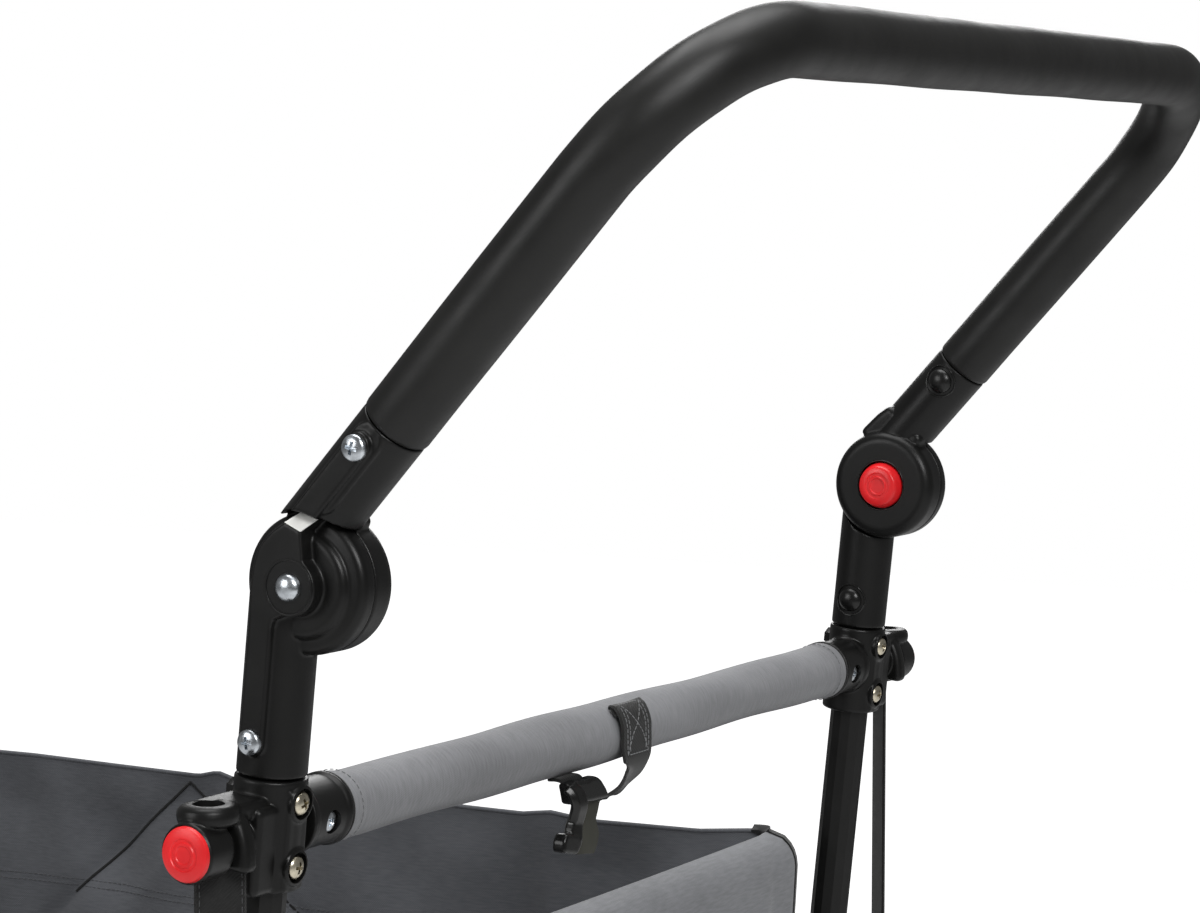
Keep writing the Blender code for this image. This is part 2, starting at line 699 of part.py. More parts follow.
def make_lower_arms(rear):
    """Lower half of each angle hinge: a sleeve on the post, a stepped disc and a flat tongue."""
    radius = ARM_DIAMETER / 2
    hinge = HINGE_DIAMETER / 2
    parting = HINGE_PARTING
    bottom = on_post(LOWER_ARM_LENGTH)
    sleeve = rod(radius, bottom, on_post(0.002))
    clear = hinge_cylinder(hinge + 2 * GAP, -0.03, parting)
    sleeve = minus(sleeve, clear)
    profile = [(0, parting), (hinge, parting), (hinge, HINGE_OUTER - 0.0045), (hinge - 0.0015, HINGE_OUTER - 0.003)]
    profile += [(HINGE_SHOULDER, HINGE_OUTER - 0.003), (HINGE_SHOULDER - 0.002, HINGE_OUTER), (0, HINGE_OUTER)]
    disc = hinge_turned(profile)
    shape = union(sleeve, disc, lower_tongue())

    post_bore = rod(POST_RADIUS + GAP, on_post(LOWER_ARM_LENGTH + 0.01), on_post(LOWER_ARM_LENGTH - LOWER_ARM_SOCKET), PLAIN_SIDES)
    bolt_bore = hinge_cylinder(BOLT_DIAMETER / 2 + PIN_GAP, -0.03, 0.03, SMALL_SIDES)
    teeth = lock_outline(LOCK_TIP_RADIUS + GAP, LOCK_ROOT_RADIUS + GAP, GAP)
    pocket = side_plate(teeth, PLANE + parting - 0.002, PLANE + parting + LOCK_POCKET_DEPTH)
    shape = minus(shape, post_bore, bolt_bore, pocket)
    add_pair("lower_arm", shape, BLACK_PLASTIC, (rear, rear))


def from_hinge(forward, up):
    """A point in the side plane, so far from the hinge axis in the post's direction."""
    place = on_post(-up, forward - POST_OFFSET)
    return (place.x, place.z)


def lower_tongue():
    """Flat plate on the lower arm's outer side: a rib down the sleeve, a boss under the bolt and a slanted end."""
    half, boss = TONGUE_WIDTH / 2, TONGUE_BOSS_RADIUS
    end = LOWER_ARM_LENGTH - 0.014
    outline = [(POST_OFFSET + half, -end), (POST_OFFSET + half, -0.014), (0.0184, -0.0026)]
    outline += [(0.0161, 0.0113), (0.0113, 0.0194), TONGUE_EDGE[0], *TONGUE_TIP, TONGUE_EDGE[1], (-0.0054, 0.0111)]
    outline += arc((0, 0), boss, radians(130), radians(280), 5)
    outline += [(POST_OFFSET - half, -0.016)]
    outline += arc((POST_OFFSET, -end), half, pi, 2 * pi, 4)[:-1]
    outer = PLANE + ARM_DIAMETER / 2 + TONGUE_PROUD
    shape = side_plate([from_hinge(*point) for point in outline], PLANE + 0.004, outer)

    first, second = [Vector(from_hinge(*point)) for point in TONGUE_EDGE]
    side = (second - first) * 0.6
    up = Vector((-side.y, side.x)) / side.length
    up = -up if up.y < 0 else up
    length = (Vector(from_hinge(*TONGUE_TIP[0])) - first).dot(up)
    rings = []
    for reach in (-0.2, 1.6):
        low = outer - TONGUE_FALL * reach
        corners = [first - side + up * length * reach, second + side + up * length * reach]
        (ax, az), (bx, bz) = corners
        rings.append([(ax, low, az), (bx, low, bz), (bx, outer + 0.006, bz), (ax, outer + 0.006, az)])
    return minus(shape, outward(loft(rings)))


def lock_outline(tip, root, widen):
    """Outline of the lock gear's square teeth, about the hinge axis."""
    half = (pi / LOCK_TEETH) * 0.46
    outline = []
    for i in range(LOCK_TEETH):
        middle = 2 * pi * i / LOCK_TEETH
        for radius, angle in ((root, -half), (tip, -half), (tip, half), (root, half)):
            turn = middle + angle + (widen / root) * (1 if angle > 0 else -1)
            outline.append((HINGE_X + radius * cos(turn), HINGE_HEIGHT + radius * sin(turn)))
    return outline


def make_locks(buttons):
    """Red button and toothed lock inside each angle hinge. They travel together along the hinge axis."""
    back = HINGE_PARTING - LOCK_THICKNESS / 2
    face = HINGE_INNER - BUTTON_PROUD
    bore = BOLT_DIAMETER / 2 + PIN_GAP
    stem = BUTTON_STEM_DIAMETER / 2
    head = BUTTON_DIAMETER / 2
    profile = [(0, face), (head - 0.0015, face), (head, face + 0.0015), (head, face + BUTTON_HEAD)]
    profile += [(stem, face + BUTTON_HEAD), (stem, back - GAP), (bore + 0.0008, back - GAP)]
    profile += [(bore + 0.0008, face + BUTTON_HEAD), (0, face + BUTTON_HEAD)]
    add_pair("angle_button", hinge_turned(profile), RED_PLASTIC, buttons)

    hole = circle((HINGE_X, HINGE_HEIGHT), bore, SMALL_SIDES)
    gear = side_plate(
        lock_outline(LOCK_TIP_RADIUS, LOCK_ROOT_RADIUS, 0.0), PLANE + back, PLANE + back + LOCK_THICKNESS, [hole]
    )
    add_pair("lock_gear", gear, ZINC, buttons)


def make_pivot_bolts(rear):
    """Domed bolt on each hinge axis."""
    outer = ARM_DIAMETER / 2 + TONGUE_PROUD + GAP
    radius = BOLT_DIAMETER / 2
    head = BOLT_HEAD_DIAMETER / 2
    inner_end = HINGE_INNER - BUTTON_PROUD + BUTTON_HEAD + BUTTON_TRAVEL + 0.0012
    profile = [(0, inner_end), (radius, inner_end), (radius, outer), (head, outer), (head, outer + 0.0008)]
    profile += [(head * cos(a), outer + 0.0008 + (BOLT_HEAD_HEIGHT - 0.0008) * sin(a)) for a in (0.5, 1.0)]
    profile += [(0, outer + BOLT_HEAD_HEIGHT)]
    add_pair("pivot_bolt", hinge_turned(profile, SMALL_SIDES), ZINC, (rear, rear))


def make_upper_arms(handle):
    """Upper half of each angle hinge: a domed disc with the button's recess, and the handle's socket."""
    hinge = HINGE_DIAMETER / 2
    parting = HINGE_PARTING - GAP
    sleeve = rod(ARM_DIAMETER / 2, on_handle(0.002), on_handle(GRIP_START - GAP))
    clear = hinge_cylinder(TONGUE_CLEAR, parting, 0.03)
    sleeve = minus(sleeve, clear)
    profile = [(0, HINGE_INNER), (hinge - 0.006, HINGE_INNER), (hinge - 0.0035, HINGE_INNER + 0.0008)]
    profile += [(hinge - 0.0012, HINGE_INNER + 0.0028), (hinge, HINGE_INNER + 0.0054), (hinge, parting), (0, parting)]
    disc = hinge_turned(profile)
    start, end = on_handle(0.020), on_handle(GRIP_START - 0.0100)
    outline = slot_outline((start.x, start.z), (end.x, end.z), TONGUE_WIDTH / 2, TONGUE_WIDTH / 2, 4)
    tongue = side_plate(outline, PLANE + 0.004, PLANE + ARM_DIAMETER / 2 + TONGUE_PROUD)
    shape = union(sleeve, minus(tongue, hinge_cylinder(TONGUE_CLEAR, -0.03, 0.03)), disc)

    web = HINGE_INNER - BUTTON_PROUD + BUTTON_HEAD + BUTTON_TRAVEL + 0.0006
    recess = hinge_cylinder(BUTTON_DIAMETER / 2 + 0.0006, -0.03, web)
    stem_hole = hinge_cylinder(BUTTON_STEM_DIAMETER / 2 + PIN_GAP, web - 0.002, web + 0.004)
    pocket = hinge_cylinder(LOCK_TIP_RADIUS + 0.0010, web + HINGE_WEB, parting + 0.002)
    mouth, floor = on_handle(GRIP_START + 0.01), on_handle(GRIP_START - ARM_SOCKET_DEPTH)
    socket = rod(HANDLE_TUBE_DIAMETER / 2 + GAP, floor, mouth)
    shape = minus(shape, recess, stem_hole, pocket, socket)
    add_pair("upper_arm", shape, BLACK_PLASTIC, (handle, handle))


def make_handle(handle):
    """U-shaped tube with its ends in the upper arms, and the foam grip round it."""
    normal = Vector((cos(HANDLE_LEAN), 0, sin(HANDLE_LEAN)))
    foot = GRIP_START - ARM_SOCKET_DEPTH + GAP

    def path(start):
        corners = [on_handle(start), on_handle(HANDLE_LENGTH), on_handle(HANDLE_LENGTH, out=-TRACK)]
        return rounded(corners + [on_handle(start, out=-TRACK)], HANDLE_BEND_RADIUS, 5)

    tube = HANDLE_TUBE_DIAMETER / 2
    add("handle_tube", pipe(path(foot), normal, tube, tube - TUBE_WALL, PLAIN_SIDES), BLACK_STEEL, handle)
    outer = pipe(path(GRIP_START), normal, GRIP_DIAMETER / 2, tube + 3 * GAP, PLAIN_SIDES)
    add("handle_grip", outer, FOAM, handle)


def rivet(place, layer, root):
    """A pin for the links of one layer: a shoulder up to it, a shank through it and a head.

    It starts at its root, which lies inside the piece that carries it."""
    direction = 1 if layer is OUTER_LINK else -1
    near, far = (layer[0], layer[1]) if direction > 0 else (layer[1], layer[0])
    shoulder = abs(near - root) - PIN_GAP
    end = abs(far - root) + PIN_GAP
    head = LINK_HEAD_DIAMETER / 2
    radius = LINK_PIN_DIAMETER / 2
    profile = [(0, 0), (head, 0), (head, shoulder), (radius, shoulder), (radius, end), (head, end)]
    profile += [(head - 0.002, end + LINK_HEAD_HEIGHT), (0, end + LINK_HEAD_HEIGHT)]
    return aimed(turned(profile, SMALL_SIDES), (place[0], PLANE + root, place[1]), (0, direction, 0))


def link_arm(start, end, layer, holes, pins):
    """A flat link between two points, with pin holes, and with rivets that turn in the other layer."""
    radius = LINK_WIDTH / 2
    holes = [circle(hole, LINK_PIN_DIAMETER / 2 + PIN_GAP, SMALL_SIDES) for hole in holes]
    shape = side_plate(slot_outline(start, end, radius, radius, 4), PLANE + layer[0], PLANE + layer[1], holes)
    other = OUTER_LINK if layer is INNER_LINK else INNER_LINK
    return union(shape, *[rivet(place, other, (layer[0] + layer[1]) / 2) for place in pins])


def link_points():
    """Pin centres of the side linkage at rest, as (x, z)."""
    low, high = PIN_HEIGHT, PIN_HEIGHT + LINK_RISE
    middle, near, far = POST_SPAN / 2, PIN_REACH, POST_SPAN - PIN_REACH
    half = LINK_REACH / 2
    return {
        "rear_low": (near, low),
        "rear_high": (near, high),
        "middle_low": (middle, low),
        "middle_high": (middle, high),
        "front_low": (far, low),
        "front_high": (far, high),
        "rear_cross": (near + half, low + LINK_RISE / 2),
        "front_cross": (far - half, low + LINK_RISE / 2),
    }


def make_links(bodies):
    """Four links on each side. The inner ones rise forward and the outer ones fall forward."""
    at = link_points()
    for name, start, end, layer, holes, pins in (
        ("rear_inner_link", "rear_low", "middle_high", INNER_LINK, ["rear_low"], ["rear_cross", "middle_high"]),
        ("rear_outer_link", "rear_high", "middle_low", OUTER_LINK, ["rear_high", "rear_cross"], ["middle_low"]),
        ("front_outer_link", "middle_high", "front_low", OUTER_LINK, ["middle_high", "front_low"], ["front_cross"]),
        ("front_inner_link", "middle_low", "front_high", INNER_LINK, ["middle_low", "front_cross", "front_high"], []),
    ):
        places = [at[hole] for hole in holes]
        shape = link_arm(at[start], at[end], layer, places, [at[pin] for pin in pins])
        add_pair(name, shape, BLACK_STEEL, (bodies[name], bodies[name]))


def ear(place, post_x, layer):
    """Flat ear from a post's axis to a link pin, with the rivet that one layer of links turns on."""
    outline = slot_outline((post_x, place[1]), place, LINK_WIDTH / 2, LINK_WIDTH / 2, 4)
    flat = side_plate(outline, PLANE - EAR_THICKNESS / 2, PLANE + EAR_THICKNESS / 2)
    return union(flat, rivet(place, layer, 0.0))


def make_sliders(rear_slider, front_slider):
    """Collars that slide on the posts and carry the links' upper ends."""
    at = link_points()
    for name, place, post_x, layer, body in (
        ("rear_slider", at["rear_high"], 0.0, OUTER_LINK, rear_slider),
        ("front_slider", at["front_high"], POST_SPAN, INNER_LINK, front_slider),
    ):
        low = Vector((post_x, PLANE, place[1] - SLIDER_HEIGHT / 2))
        high = low + Vector((0, 0, SLIDER_HEIGHT))
        shape = union(rod(SLIDER_DIAMETER / 2, low, high, PLAIN_SIDES, 0.0012), ear(place, post_x, layer))
        reach = Vector((0, 0, 0.01))
        shape = minus(shape, rod(POST_RADIUS + SLIDE_GAP, low - reach, high + reach, PLAIN_SIDES))
        add_pair(name, shape, BLACK_PLASTIC, (body, body))


def make_rear_beam(rear):
    """Cross tube with the two rear feet: post socket, link ear, axle lug, strap lug and brake lugs."""
    at = link_points()
    radius = FOOT_DIAMETER / 2
    axle = AXLE_DIAMETER / 2
    beam = rod(BEAM_DIAMETER / 2, (0, -PLANE, BEAM_HEIGHT), (0, PLANE, BEAM_HEIGHT), PLAIN_SIDES)
    strap_x = on_post(RAIL_DROP).x
    pieces = []
    for side in (1, -1):
        foot = rod(radius, (0, PLANE, POST_FOOT_HEIGHT - 0.010), (0, PLANE, FOOT_TOP), PLAIN_SIDES, 0.0012)
        outline = slot_outline((0, REAR_AXLE_HEIGHT), (0, POST_FOOT_HEIGHT + 0.01), 0.0160, 0.0130, 4)
        lug = side_plate(outline, PLANE - 0.013, PLANE + 0.013)
        plank = [(strap_x - 0.009, PLANE), (strap_x + 0.012, PLANE), (strap_x + 0.010, PLANE + STRAP_OUT + 0.010)]
        plank += [(strap_x - 0.009, PLANE + STRAP_OUT + 0.010)]
        strap_lug = plate(plank, FOOT_TOP - 0.0120, FOOT_TOP - 0.0040)
        foot = union(foot, lug, strap_lug, ear(at["rear_low"], 0.0, INNER_LINK))
        low, high = (0, PLANE, POST_FOOT_HEIGHT - GAP), (0, PLANE, FOOT_TOP + 0.01)
        bore = rod(POST_RADIUS + GAP, low, high, PLAIN_SIDES)
        outline = slot_outline((0, BEAM_HEIGHT), (-BRAKE_BACK, BRAKE_HEIGHT), 0.009, 0.0085, 4)
        hole = circle((-BRAKE_BACK, BRAKE_HEIGHT), BRAKE_ROD_DIAMETER / 2 + PIN_GAP, SMALL_SIDES)
        brake_lug = side_plate(outline, BRAKE_LUG_OUT - 0.003, BRAKE_LUG_OUT + 0.003, [hole])
        for piece in (foot, bore, brake_lug):
            if side < 0:
                bmesh.ops.scale(piece, verts=piece.verts, vec=(1, -1, 1))
        pieces.append((foot, bore, brake_lug))
    for foot, bore, brake_lug in pieces:
        beam = minus(union(beam, foot, brake_lug), bore)
    reach = PLANE + 0.03
    ends = (0, -reach, REAR_AXLE_HEIGHT), (0, reach, REAR_AXLE_HEIGHT)
    beam = minus(beam, rod(axle + GAP, *ends, SMALL_SIDES))
    add("rear_beam", beam, BLACK_STEEL, rear)


def make_front_beam(front):
    """Cross tube with the two front feet: post socket, link ear and the caster's bearing."""
    at = link_points()
    radius = FOOT_DIAMETER / 2
    ends = (POST_SPAN, -PLANE, FRONT_BEAM_HEIGHT), (POST_SPAN, PLANE, FRONT_BEAM_HEIGHT)
    beam = rod(BEAM_DIAMETER / 2, *ends, PLAIN_SIDES)
    stem = CASTER_STEM_DIAMETER / 2
    for side in (1, -1):
        low, high = Vector((POST_SPAN, PLANE, FRONT_FOOT_BOTTOM)), Vector((POST_SPAN, PLANE, FOOT_TOP))
        foot = union(rod(radius, low, high, PLAIN_SIDES, 0.0012), ear(at["front_low"], POST_SPAN, OUTER_LINK))
        past = Vector((0, 0, 0.01))
        socket = Vector((POST_SPAN, PLANE, FRONT_POST_FOOT_HEIGHT - GAP))
        bore = rod(POST_RADIUS + GAP, socket, high + past, PLAIN_SIDES)
        stem_top = low + Vector((0, 0, CASTER_STEM_LENGTH + 2 * GAP))
        swivel = rod(stem + PIN_GAP, low - past, stem_top, PLAIN_SIDES)
        for piece in (foot, bore, swivel):
            if side < 0:
                bmesh.ops.scale(piece, verts=piece.verts, vec=(1, -1, 1))
        beam = minus(union(beam, foot), bore, swivel)
    add("front_beam", beam, BLACK_STEEL, front)


def tyre_shape(diameter, width, depth, sides):
    """Round-shouldered tyre about Z, centred on its wheel's middle plane."""
    radius, half = diameter / 2, width / 2
    inner = radius - depth
    profile = [(inner, -half * 0.62), (radius - depth * 0.40, -half), (radius, -half * 0.45)]
    profile += [(radius, half * 0.45), (radius - depth * 0.40, half), (inner, half * 0.62)]
    return turned(profile, sides, ring=True)


def hub_shape(radius, width, barrel_radius, barrel_length, bore):
    """Spoked hub about Z: a rim, spokes with windows between them, and a barrel with its bore."""
    windows = [circle((0, 0), bore, SMALL_SIDES)]
    for i in range(SPOKES):
        middle = 2 * pi * i / SPOKES
        wide = pi / SPOKES - 0.14
        narrow = pi / SPOKES - 0.30
        window = arc((0, 0), radius * 0.86, middle - wide, middle + wide, 2)
        window += arc((0, 0), barrel_radius + 0.010, middle + narrow, middle - narrow, 1)
        windows.append(window)
    web = plate(circle((0, 0), radius, WHEEL_SIDES), -width / 2, width / 2, windows)
    end = barrel_length / 2
    barrel = turned([(bore, -end), (barrel_radius, -end), (barrel_radius, end), (bore, end)], SMALL_SIDES, ring=True)
    return union(web, barrel)


def make_rear_wheels(rear, wheels):
    """Rear axle through both feet, and a tyre and a hub that turn on each end of it."""
    place = Vector((0, PLANE + REAR_WHEEL_OUT, REAR_AXLE_HEIGHT))
    depth = REAR_WHEEL_DIAMETER / 2 * TYRE_DEPTH
    tyre = aimed(tyre_shape(REAR_WHEEL_DIAMETER, REAR_TYRE_WIDTH, depth, WHEEL_SIDES), place, (0, 1, 0))
    add_pair("rear_tyre", tyre, RUBBER, wheels)
    radius = REAR_WHEEL_DIAMETER / 2 - depth - GAP
    bore = AXLE_DIAMETER / 2 + PIN_GAP
    hub = hub_shape(radius, REAR_TYRE_WIDTH * 0.54, 0.017, REAR_TYRE_WIDTH + 0.001, bore)
    add_pair("rear_hub", aimed(hub, place, (0, 1, 0)), BLACK_PLASTIC, wheels)

    end = PLANE + REAR_WHEEL_OUT + REAR_TYRE_WIDTH / 2 + 0.001 + GAP
    half = [(AXLE_DIAMETER / 2, end), (AXLE_CAP_DIAMETER / 2, end), (AXLE_CAP_DIAMETER / 2, end + AXLE_CAP_WIDTH * 0.6)]
    half += [(AXLE_CAP_DIAMETER / 2 - 0.003, end + AXLE_CAP_WIDTH), (0, end + AXLE_CAP_WIDTH)]
    profile = [(r, -h) for r, h in reversed(half)] + half
    axle = aimed(turned(profile, SMALL_SIDES), (0, 0, REAR_AXLE_HEIGHT), (0, 1, 0))
    add("rear_axle", axle, ZINC, rear)


def make_casters(swivels, wheels):
    """Front casters: fork with its stem and axle, tyre and hub."""
    crown = FRONT_FOOT_BOTTOM - GAP
    wheel = Vector((POST_SPAN - CASTER_TRAIL, PLANE, FRONT_AXLE_HEIGHT))
    radius = CASTER_CROWN_DIAMETER / 2
    low = crown - CASTER_CROWN_HEIGHT
    profile = [(radius - 0.001, low + 0.004), (radius, low + 0.006), (radius, crown - 0.001), (radius - 0.001, crown)]
    profile += [(CASTER_STEM_DIAMETER / 2, crown), (CASTER_STEM_DIAMETER / 2, crown + CASTER_STEM_LENGTH - 0.001)]
    profile += [(CASTER_STEM_DIAMETER / 2 - 0.001, crown + CASTER_STEM_LENGTH)]
    head = aimed(turned(profile, PLAIN_SIDES), (POST_SPAN, PLANE, 0), (0, 0, 1))
    outer = FORK_INNER + FORK_THICKNESS
    bridge_low = (POST_SPAN - radius, PLANE - outer, low)
    bridge = box(bridge_low, (POST_SPAN + radius * 0.8, PLANE + outer, crown - 0.003))
    shape = union(head, bridge)
    top, foot = 0.013, 0.011
    rear, fore = wheel.x, POST_SPAN
    outline = arc((rear, wheel.z), foot, pi, 2 * pi - 0.35, 5)
    outline += [(fore + top, low + 0.002), (fore + radius * 0.8, low + 0.002), (fore + radius * 0.8, crown - 0.003)]
    outline += [(fore - radius, crown - 0.003), (fore - radius - 0.002, low)]
    for side in (1, -1):
        inner, outside = sorted((side * FORK_INNER, side * outer))
        shape = union(shape, side_plate(outline, PLANE + inner, PLANE + outside))
    cap = FORK_INNER + FORK_THICKNESS + 0.003
    bolt = FRONT_AXLE_DIAMETER / 2
    profile = [(bolt + 0.002, 0), (bolt + 0.002, 0.003), (bolt, 0.003), (bolt, 2 * cap - 0.003)]
    profile += [(bolt + 0.002, 2 * cap - 0.003), (bolt + 0.002, 2 * cap)]
    axle = aimed(turned(profile, SMALL_SIDES), wheel - Vector((0, cap, 0)), (0, 1, 0))
    add_pair("caster_fork", union(shape, axle), BLACK_PLASTIC, swivels)

    depth = FRONT_WHEEL_DIAMETER / 2 * (TYRE_DEPTH + 0.03)
    tyre = aimed(tyre_shape(FRONT_WHEEL_DIAMETER, FRONT_TYRE_WIDTH, depth, WHEEL_SIDES), wheel, (0, 1, 0))
    add_pair("front_tyre", tyre, RUBBER, wheels)
    hub_radius = FRONT_WHEEL_DIAMETER / 2 - depth - GAP
    barrel = 2 * FORK_INNER - 0.001
    hub = hub_shape(hub_radius, FRONT_TYRE_WIDTH * 0.54, 0.012, barrel, FRONT_AXLE_DIAMETER / 2 + PIN_GAP)
    add_pair("front_hub", aimed(hub, wheel, (0, 1, 0)), BLACK_PLASTIC, wheels)


def make_brake(brake):
    """Brake bar: a rod in two lugs, a pedal in the middle and a shoe over each rear tyre."""
    pivot = Vector((-BRAKE_BACK, 0, BRAKE_HEIGHT))
    reach = PLANE + REAR_WHEEL_OUT + REAR_TYRE_WIDTH * 0.30
    ends = pivot - Vector((0, reach, 0)), pivot + Vector((0, reach, 0))
    shape = rod(BRAKE_ROD_DIAMETER / 2, *ends, SMALL_SIDES)
    centre = (0.0, REAR_AXLE_HEIGHT)
    inner = REAR_WHEEL_DIAMETER / 2 + BRAKE_GAP
    outer = inner + BRAKE_SHOE_THICKNESS
    start = atan2(BRAKE_HEIGHT - REAR_AXLE_HEIGHT, -BRAKE_BACK)
    end = start + BRAKE_SHOE_ARC
    outline = arc(centre, inner, start, end, 4) + arc(centre, outer, end, start, 4)
    turn = Matrix.Translation(pivot) @ Matrix.Rotation(BRAKE_TRAVEL, 4, "Y") @ Matrix.Translation(-pivot)
    for side in (1, -1):
        low, high = sorted((side * (reach - REAR_TYRE_WIDTH * 0.6), side * reach))
        shoe = side_plate(outline, low, high)
        shoe.transform(turn)
        shape = union(shape, shoe)
    half = PEDAL_THICKNESS / 2
    outline = [(-BRAKE_BACK, BRAKE_HEIGHT + half), (-BRAKE_BACK - PEDAL_LENGTH * 0.6, BRAKE_HEIGHT + half + 0.006)]
    outline += arc((-BRAKE_BACK - PEDAL_LENGTH, BRAKE_HEIGHT + 0.014), half, pi / 2, 3 * pi / 2, 4)
    outline += [(-BRAKE_BACK - PEDAL_LENGTH * 0.6, BRAKE_HEIGHT - half + 0.006), (-BRAKE_BACK, BRAKE_HEIGHT - half)]
    shape = union(shape, side_plate(outline, -PEDAL_WIDTH / 2, PEDAL_WIDTH / 2))
    add("brake_bar", shape, BLACK_PLASTIC, brake)


def make_load_straps(rear):
    """Flat webbing from each socket's barrel down to the strap lug of its foot."""
    rail = on_post(RAIL_DROP)
    centre = Vector((rail.x, PLANE + STRAP_OUT, 0))
    top = rail.z - BARREL_DIAMETER / 2 - 2 * GAP
    bottom = FOOT_TOP - 0.0040 + GAP
    across = (cos(STRAP_TURN), sin(STRAP_TURN), 0)
    ends = [(centre + Vector((0, 0, bottom)), across), (centre + Vector((0, 0, top)), across)]
    add_pair("load_strap", ribbon(ends, STRAP_WIDTH, STRAP_THICKNESS), WEBBING, (rear, rear))


def tub_outline(height, inset):
    """One level of the tub: straight ends, round corners, and sides that fold in below two creases."""
    share = (height - TUB_FLOOR_HEIGHT) / (TUB_RIM_HEIGHT - TUB_FLOOR_HEIGHT)
    end = TUB_FLOOR_END + (TUB_RIM_END - TUB_FLOOR_END) * share
    side = PLANE - TUB_FLOOR_SIDE + (TUB_FLOOR_SIDE - TUB_RIM_SIDE) * share
    half = POST_SPAN / 2 - end
    radius = TUB_CORNER_RADIUS
    step = (half - radius - 0.004) / 6
    near = [(step * k, side - inset - fold(k, height), peak(k, height)) for k in range(6, -7, -1)]
    far = [(-x, -y, lift) for x, y, lift in near]
    corner = radius - inset
    outline = flat_arc((half - radius, side - radius), corner, 0) + near
    outline += flat_arc((radius - half, side - radius), corner, pi / 2)
    outline += flat_arc((radius - half, radius - side), corner, pi) + far
    outline += flat_arc((half - radius, radius - side), corner, 3 * pi / 2)
    return [Vector((POST_SPAN / 2 + x, y, height + lift)) for x, y, lift in outline]


def flat_arc(centre, radius, start):
    return [(x, y, 0.0) for x, y in arc(centre, radius, start, start + pi / 2, 2)]


def fold(k, height):
    """How far a side stands in: below two creases that run down from the rim's middle, and along two seams."""
    steps = (TUB_RIM_HEIGHT - height) / FOLD_STEP
    fade = min(1.0, max(0.0, (height - TUB_FLOOR_HEIGHT) / (FOLD_END_HEIGHT - TUB_FLOOR_HEIGHT)))
    inward = FOLD_DEPTH * min(1.0, max(0.0, steps - abs(k)))
    if abs(k) == 4:
        inward = max(inward, SEAM_DEPTH * min(1.0, steps))
    return inward * fade


def peak(k, height):
    """How far the rim stands up over the middle crease and over each seam."""
    rise = {0: FOLD_PEAK, 4: SEAM_PEAK}.get(abs(k), 0.0)
    return rise if height > TUB_RIM_HEIGHT - TUB_ROLL + 0.001 else 0.0


def make_tub(rear):
    """Open fabric tub: sides that draw in to the floor between creases, and a padded roll round the rim."""
    rim, floor, roll = TUB_RIM_HEIGHT, TUB_FLOOR_HEIGHT, TUB_ROLL
    under = rim - roll
    creases = [rim - FOLD_STEP * k for k in (4, 3, 2, 1)]
    levels = [(floor, 0.004), (floor + 0.004, 0.0), (FOLD_END_HEIGHT, 0.0)]
    levels += [(height, 0.0) for height in creases]
    levels += [(under, 0.0), (rim - 0.004, 0.0), (rim, 0.004), (rim - 0.004, 0.008), (under, 0.008)]
    levels += [(under - 0.005, TUB_FABRIC)]
    levels += [(height, TUB_FABRIC) for height in reversed(creases)]
    levels += [(FOLD_END_HEIGHT, TUB_FABRIC), (floor + TUB_FABRIC, TUB_FABRIC)]
    add("tub", loft([tub_outline(height, inset) for height, inset in levels]), GREY_FABRIC, rear)


def make_floor_boards(rear_floor, front_floor):
    """Two stiff boards in the tub's floor, which fold up from the ends."""
    half = BOARD_LENGTH / 2
    outline = rounded_rectangle(half, PLANE - BOARD_SIDE, BOARD_CORNER_RADIUS, 3)
    for name, body, middle in (
        ("rear_floor_board", rear_floor, BOARD_SET + half),
        ("front_floor_board", front_floor, POST_SPAN - BOARD_SET - half),
    ):
        shape = plate(outline, BOARD_AXIS_HEIGHT - BOARD_THICKNESS / 2, BOARD_AXIS_HEIGHT + BOARD_THICKNESS / 2)
        bmesh.ops.translate(shape, verts=shape.verts, vec=(middle, 0, 0))
        add(name, shape, BOARD, body)


